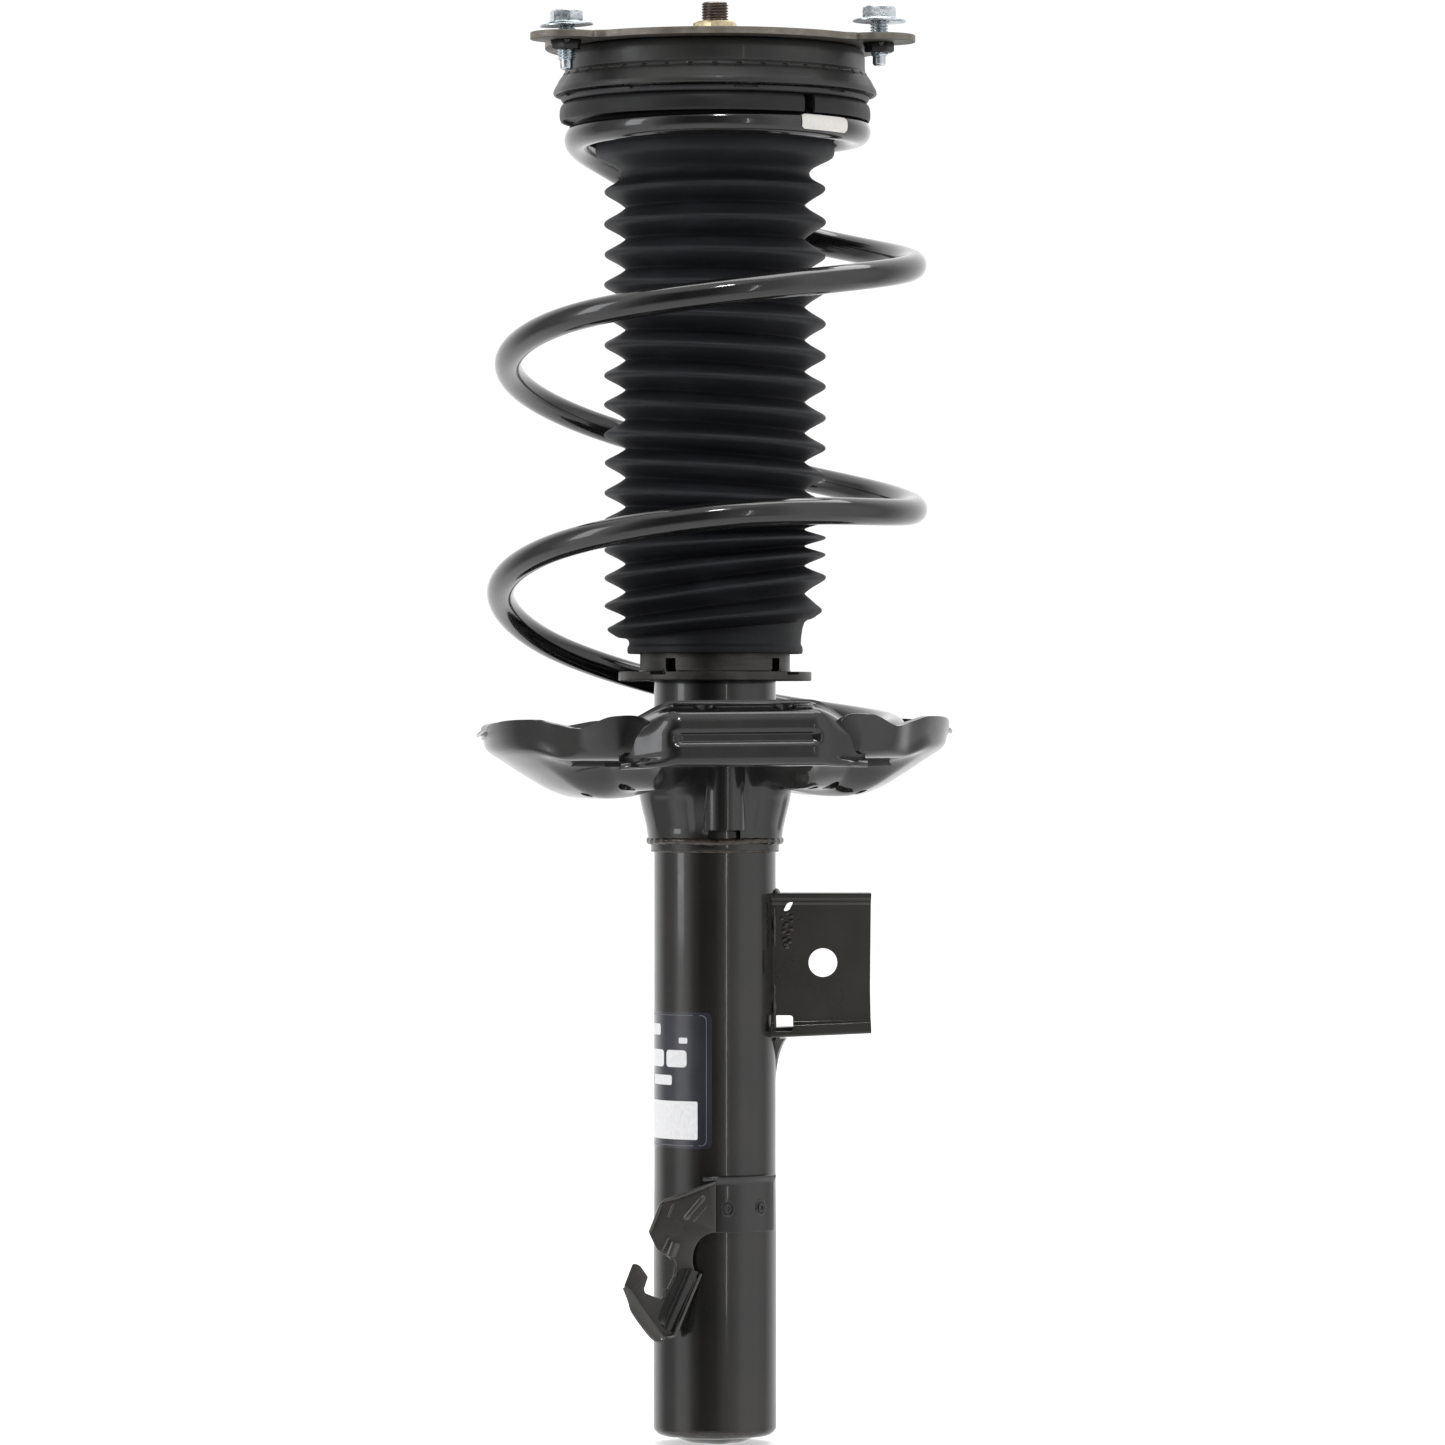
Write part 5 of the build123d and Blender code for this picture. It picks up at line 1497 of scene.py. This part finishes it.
# ================================================================ CAD nodes that are not replaced
def finish_cad_nodes():
    """Give each CAD node that keeps its own mesh a finish, nearly all of them inside the strut."""
    finishes = {
        "base_valve": "steel", "inner_cylinder": "steel", "rod_guide": "steel", "guide_bush": "bronze",
        "oil_seal": "seal", "lower_race": "steel", "upper_race": "steel", "bearing_balls": "chrome",
        "bearing_cage": "cage", "bearing_carrier": "housing", "mount_core": "steel", "piston": "steel",
        "piston_band": "band", "valve_discs": "steel", "piston_nut": "steel", "stop_ring": "steel",
        "rebound_stop": "isolator",
    }
    for node, finish in finishes.items():
        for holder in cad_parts[node].material_slots:
            holder.material = M[finish]


# ================================================================ studio
def area_light(name, place, target, width, height, power, colour):
    light = bpy.data.lights.new(name, "AREA")
    light.shape = "RECTANGLE"
    light.size = width
    light.size_y = height
    light.energy = power
    light.color = colour
    holder = bpy.data.objects.new(name, light)
    bpy.context.scene.collection.objects.link(holder)
    holder.location = place
    holder.rotation_euler = (Vector(target) - Vector(place)).to_track_quat("-Z", "Y").to_euler()


def build_studio():
    scene = bpy.context.scene
    scene.view_settings.view_transform = "Standard"
    ground = cad_bounds[0][2]
    mesh = bpy.data.meshes.new("floor")
    half, near = 14.0, -0.32
    corners = [(-half, near, ground), (half, near, ground), (half, half, ground), (-half, half, ground)]
    mesh.from_pydata(corners, [], [(0, 1, 2, 3)])
    material, tree, shader, place = start_material("pale_floor", Roughness=0.9)
    cloud = cloudy(tree, place, 3.0, 3.0)
    pale = blended(tree, cloud, rgb(0.9, 0.9, 0.9), rgb(0.93, 0.93, 0.93))
    tree.links.new(pale, shader.inputs["Base Color"])
    shader.inputs["Emission Color"].default_value = (1, 1, 1, 1)
    shader.inputs["Emission Strength"].default_value = 0.45
    mesh.materials.append(material)
    ground_plane = bpy.data.objects.new("floor", mesh)
    scene.collection.objects.link(ground_plane)
    ground_plane.visible_glossy = False

    # The studio round the strut, by compass angle from the camera's side: dark behind the camera,
    # soft panels at both sides and white all across the back, with a ceiling and a white ground.
    world = bpy.data.worlds.new("studio")
    scene.world = world
    world.use_nodes = True
    tree = world.node_tree
    back = tree.nodes["Background"]
    direction = add(tree, "ShaderNodeTexCoord").outputs["Generated"]
    parts = add(tree, "ShaderNodeSeparateXYZ", {"Vector": direction}).outputs
    toward = add(tree, "ShaderNodeMath", {0: parts["Y"], 1: -1.0}, operation="MULTIPLY").outputs[0]
    compass = add(tree, "ShaderNodeMath", {0: parts["X"], 1: toward}, operation="ARCTAN2").outputs[0]
    turn = add(tree, "ShaderNodeMapRange", {"Value": compass, "From Min": -pi, "From Max": pi}).outputs[0]
    ramp = add(tree, "ShaderNodeValToRGB", {"Fac": turn})
    levels = (
        (0.0, 1.0), (0.13, 0.95), (0.2, 0.35), (0.26, 0.5), (0.3, 1.1), (0.345, 1.0), (0.385, 0.3),
        (0.43, 0.08), (0.5, 0.14), (0.54, 0.42), (0.6, 0.6), (0.65, 1.0), (0.74, 0.85), (0.8, 0.5),
        (0.87, 0.85), (1.0, 1.0),
    )
    for number, (position, level) in enumerate(levels):
        if number < 2:
            stop = ramp.color_ramp.elements[number]
            stop.position = position
        else:
            stop = ramp.color_ramp.elements.new(position)
        stop.color = (level, level, level, 1)
    level = ramp.outputs["Color"]
    for start, end in ((-0.2, -0.6), (0.55, 0.8)):
        limits = {"Value": parts["Z"], "From Min": start, "From Max": end}
        card = add(tree, "ShaderNodeMapRange", limits).outputs[0]
        level = add(tree, "ShaderNodeMath", {0: level, 1: card}, operation="MAXIMUM").outputs[0]
    seen = add(tree, "ShaderNodeLightPath").outputs["Is Camera Ray"]
    strength = add(tree, "ShaderNodeMix", {0: seen, 2: level, 3: 1.05}, data_type="FLOAT")
    tree.links.new(strength.outputs[0], back.inputs["Strength"])
    back.inputs["Color"].default_value = (1, 1, 1, 1)

    area_light("key_left", (-2.2, -0.9, 1.0), (0, 0, 0.32), 0.6, 1.6, 7, (0.95, 0.97, 1.0))
    area_light("strip_right", (0.95, -2.4, 0.5), (0, 0, 0.32), 0.05, 1.6, 1.6, (1.0, 0.96, 0.9))
    area_light("top_front", (0.0, -1.7, 2.3), (0, 0, 0.5), 0.3, 0.12, 8, (1, 1, 1))
    area_light("top", (0.3, 0.4, 2.2), (0, 0, 0.4), 1.6, 1.6, 22, (1, 1, 1))


def build_camera():
    data = bpy.data.cameras.new("camera")
    data.sensor_width = 36
    data.lens = 174.5
    data.clip_end = 50
    camera = bpy.data.objects.new("camera", data)
    camera.location = (0.00335, -3.13, 0.314)
    camera.rotation_euler = (pi / 2, 0, 0)
    bpy.context.scene.collection.objects.link(camera)
    bpy.context.scene.camera = camera


build_tube()
build_label()
build_cap()
build_lower_seat()
build_support()
build_pad()
build_link_bracket()
build_hose_bracket()
build_spring()
build_boot()
build_bump_stop()
build_upper_seat()
build_tag()
build_housing()
build_plate()
build_fasteners()
build_rod()
finish_cad_nodes()
build_studio()
build_camera()
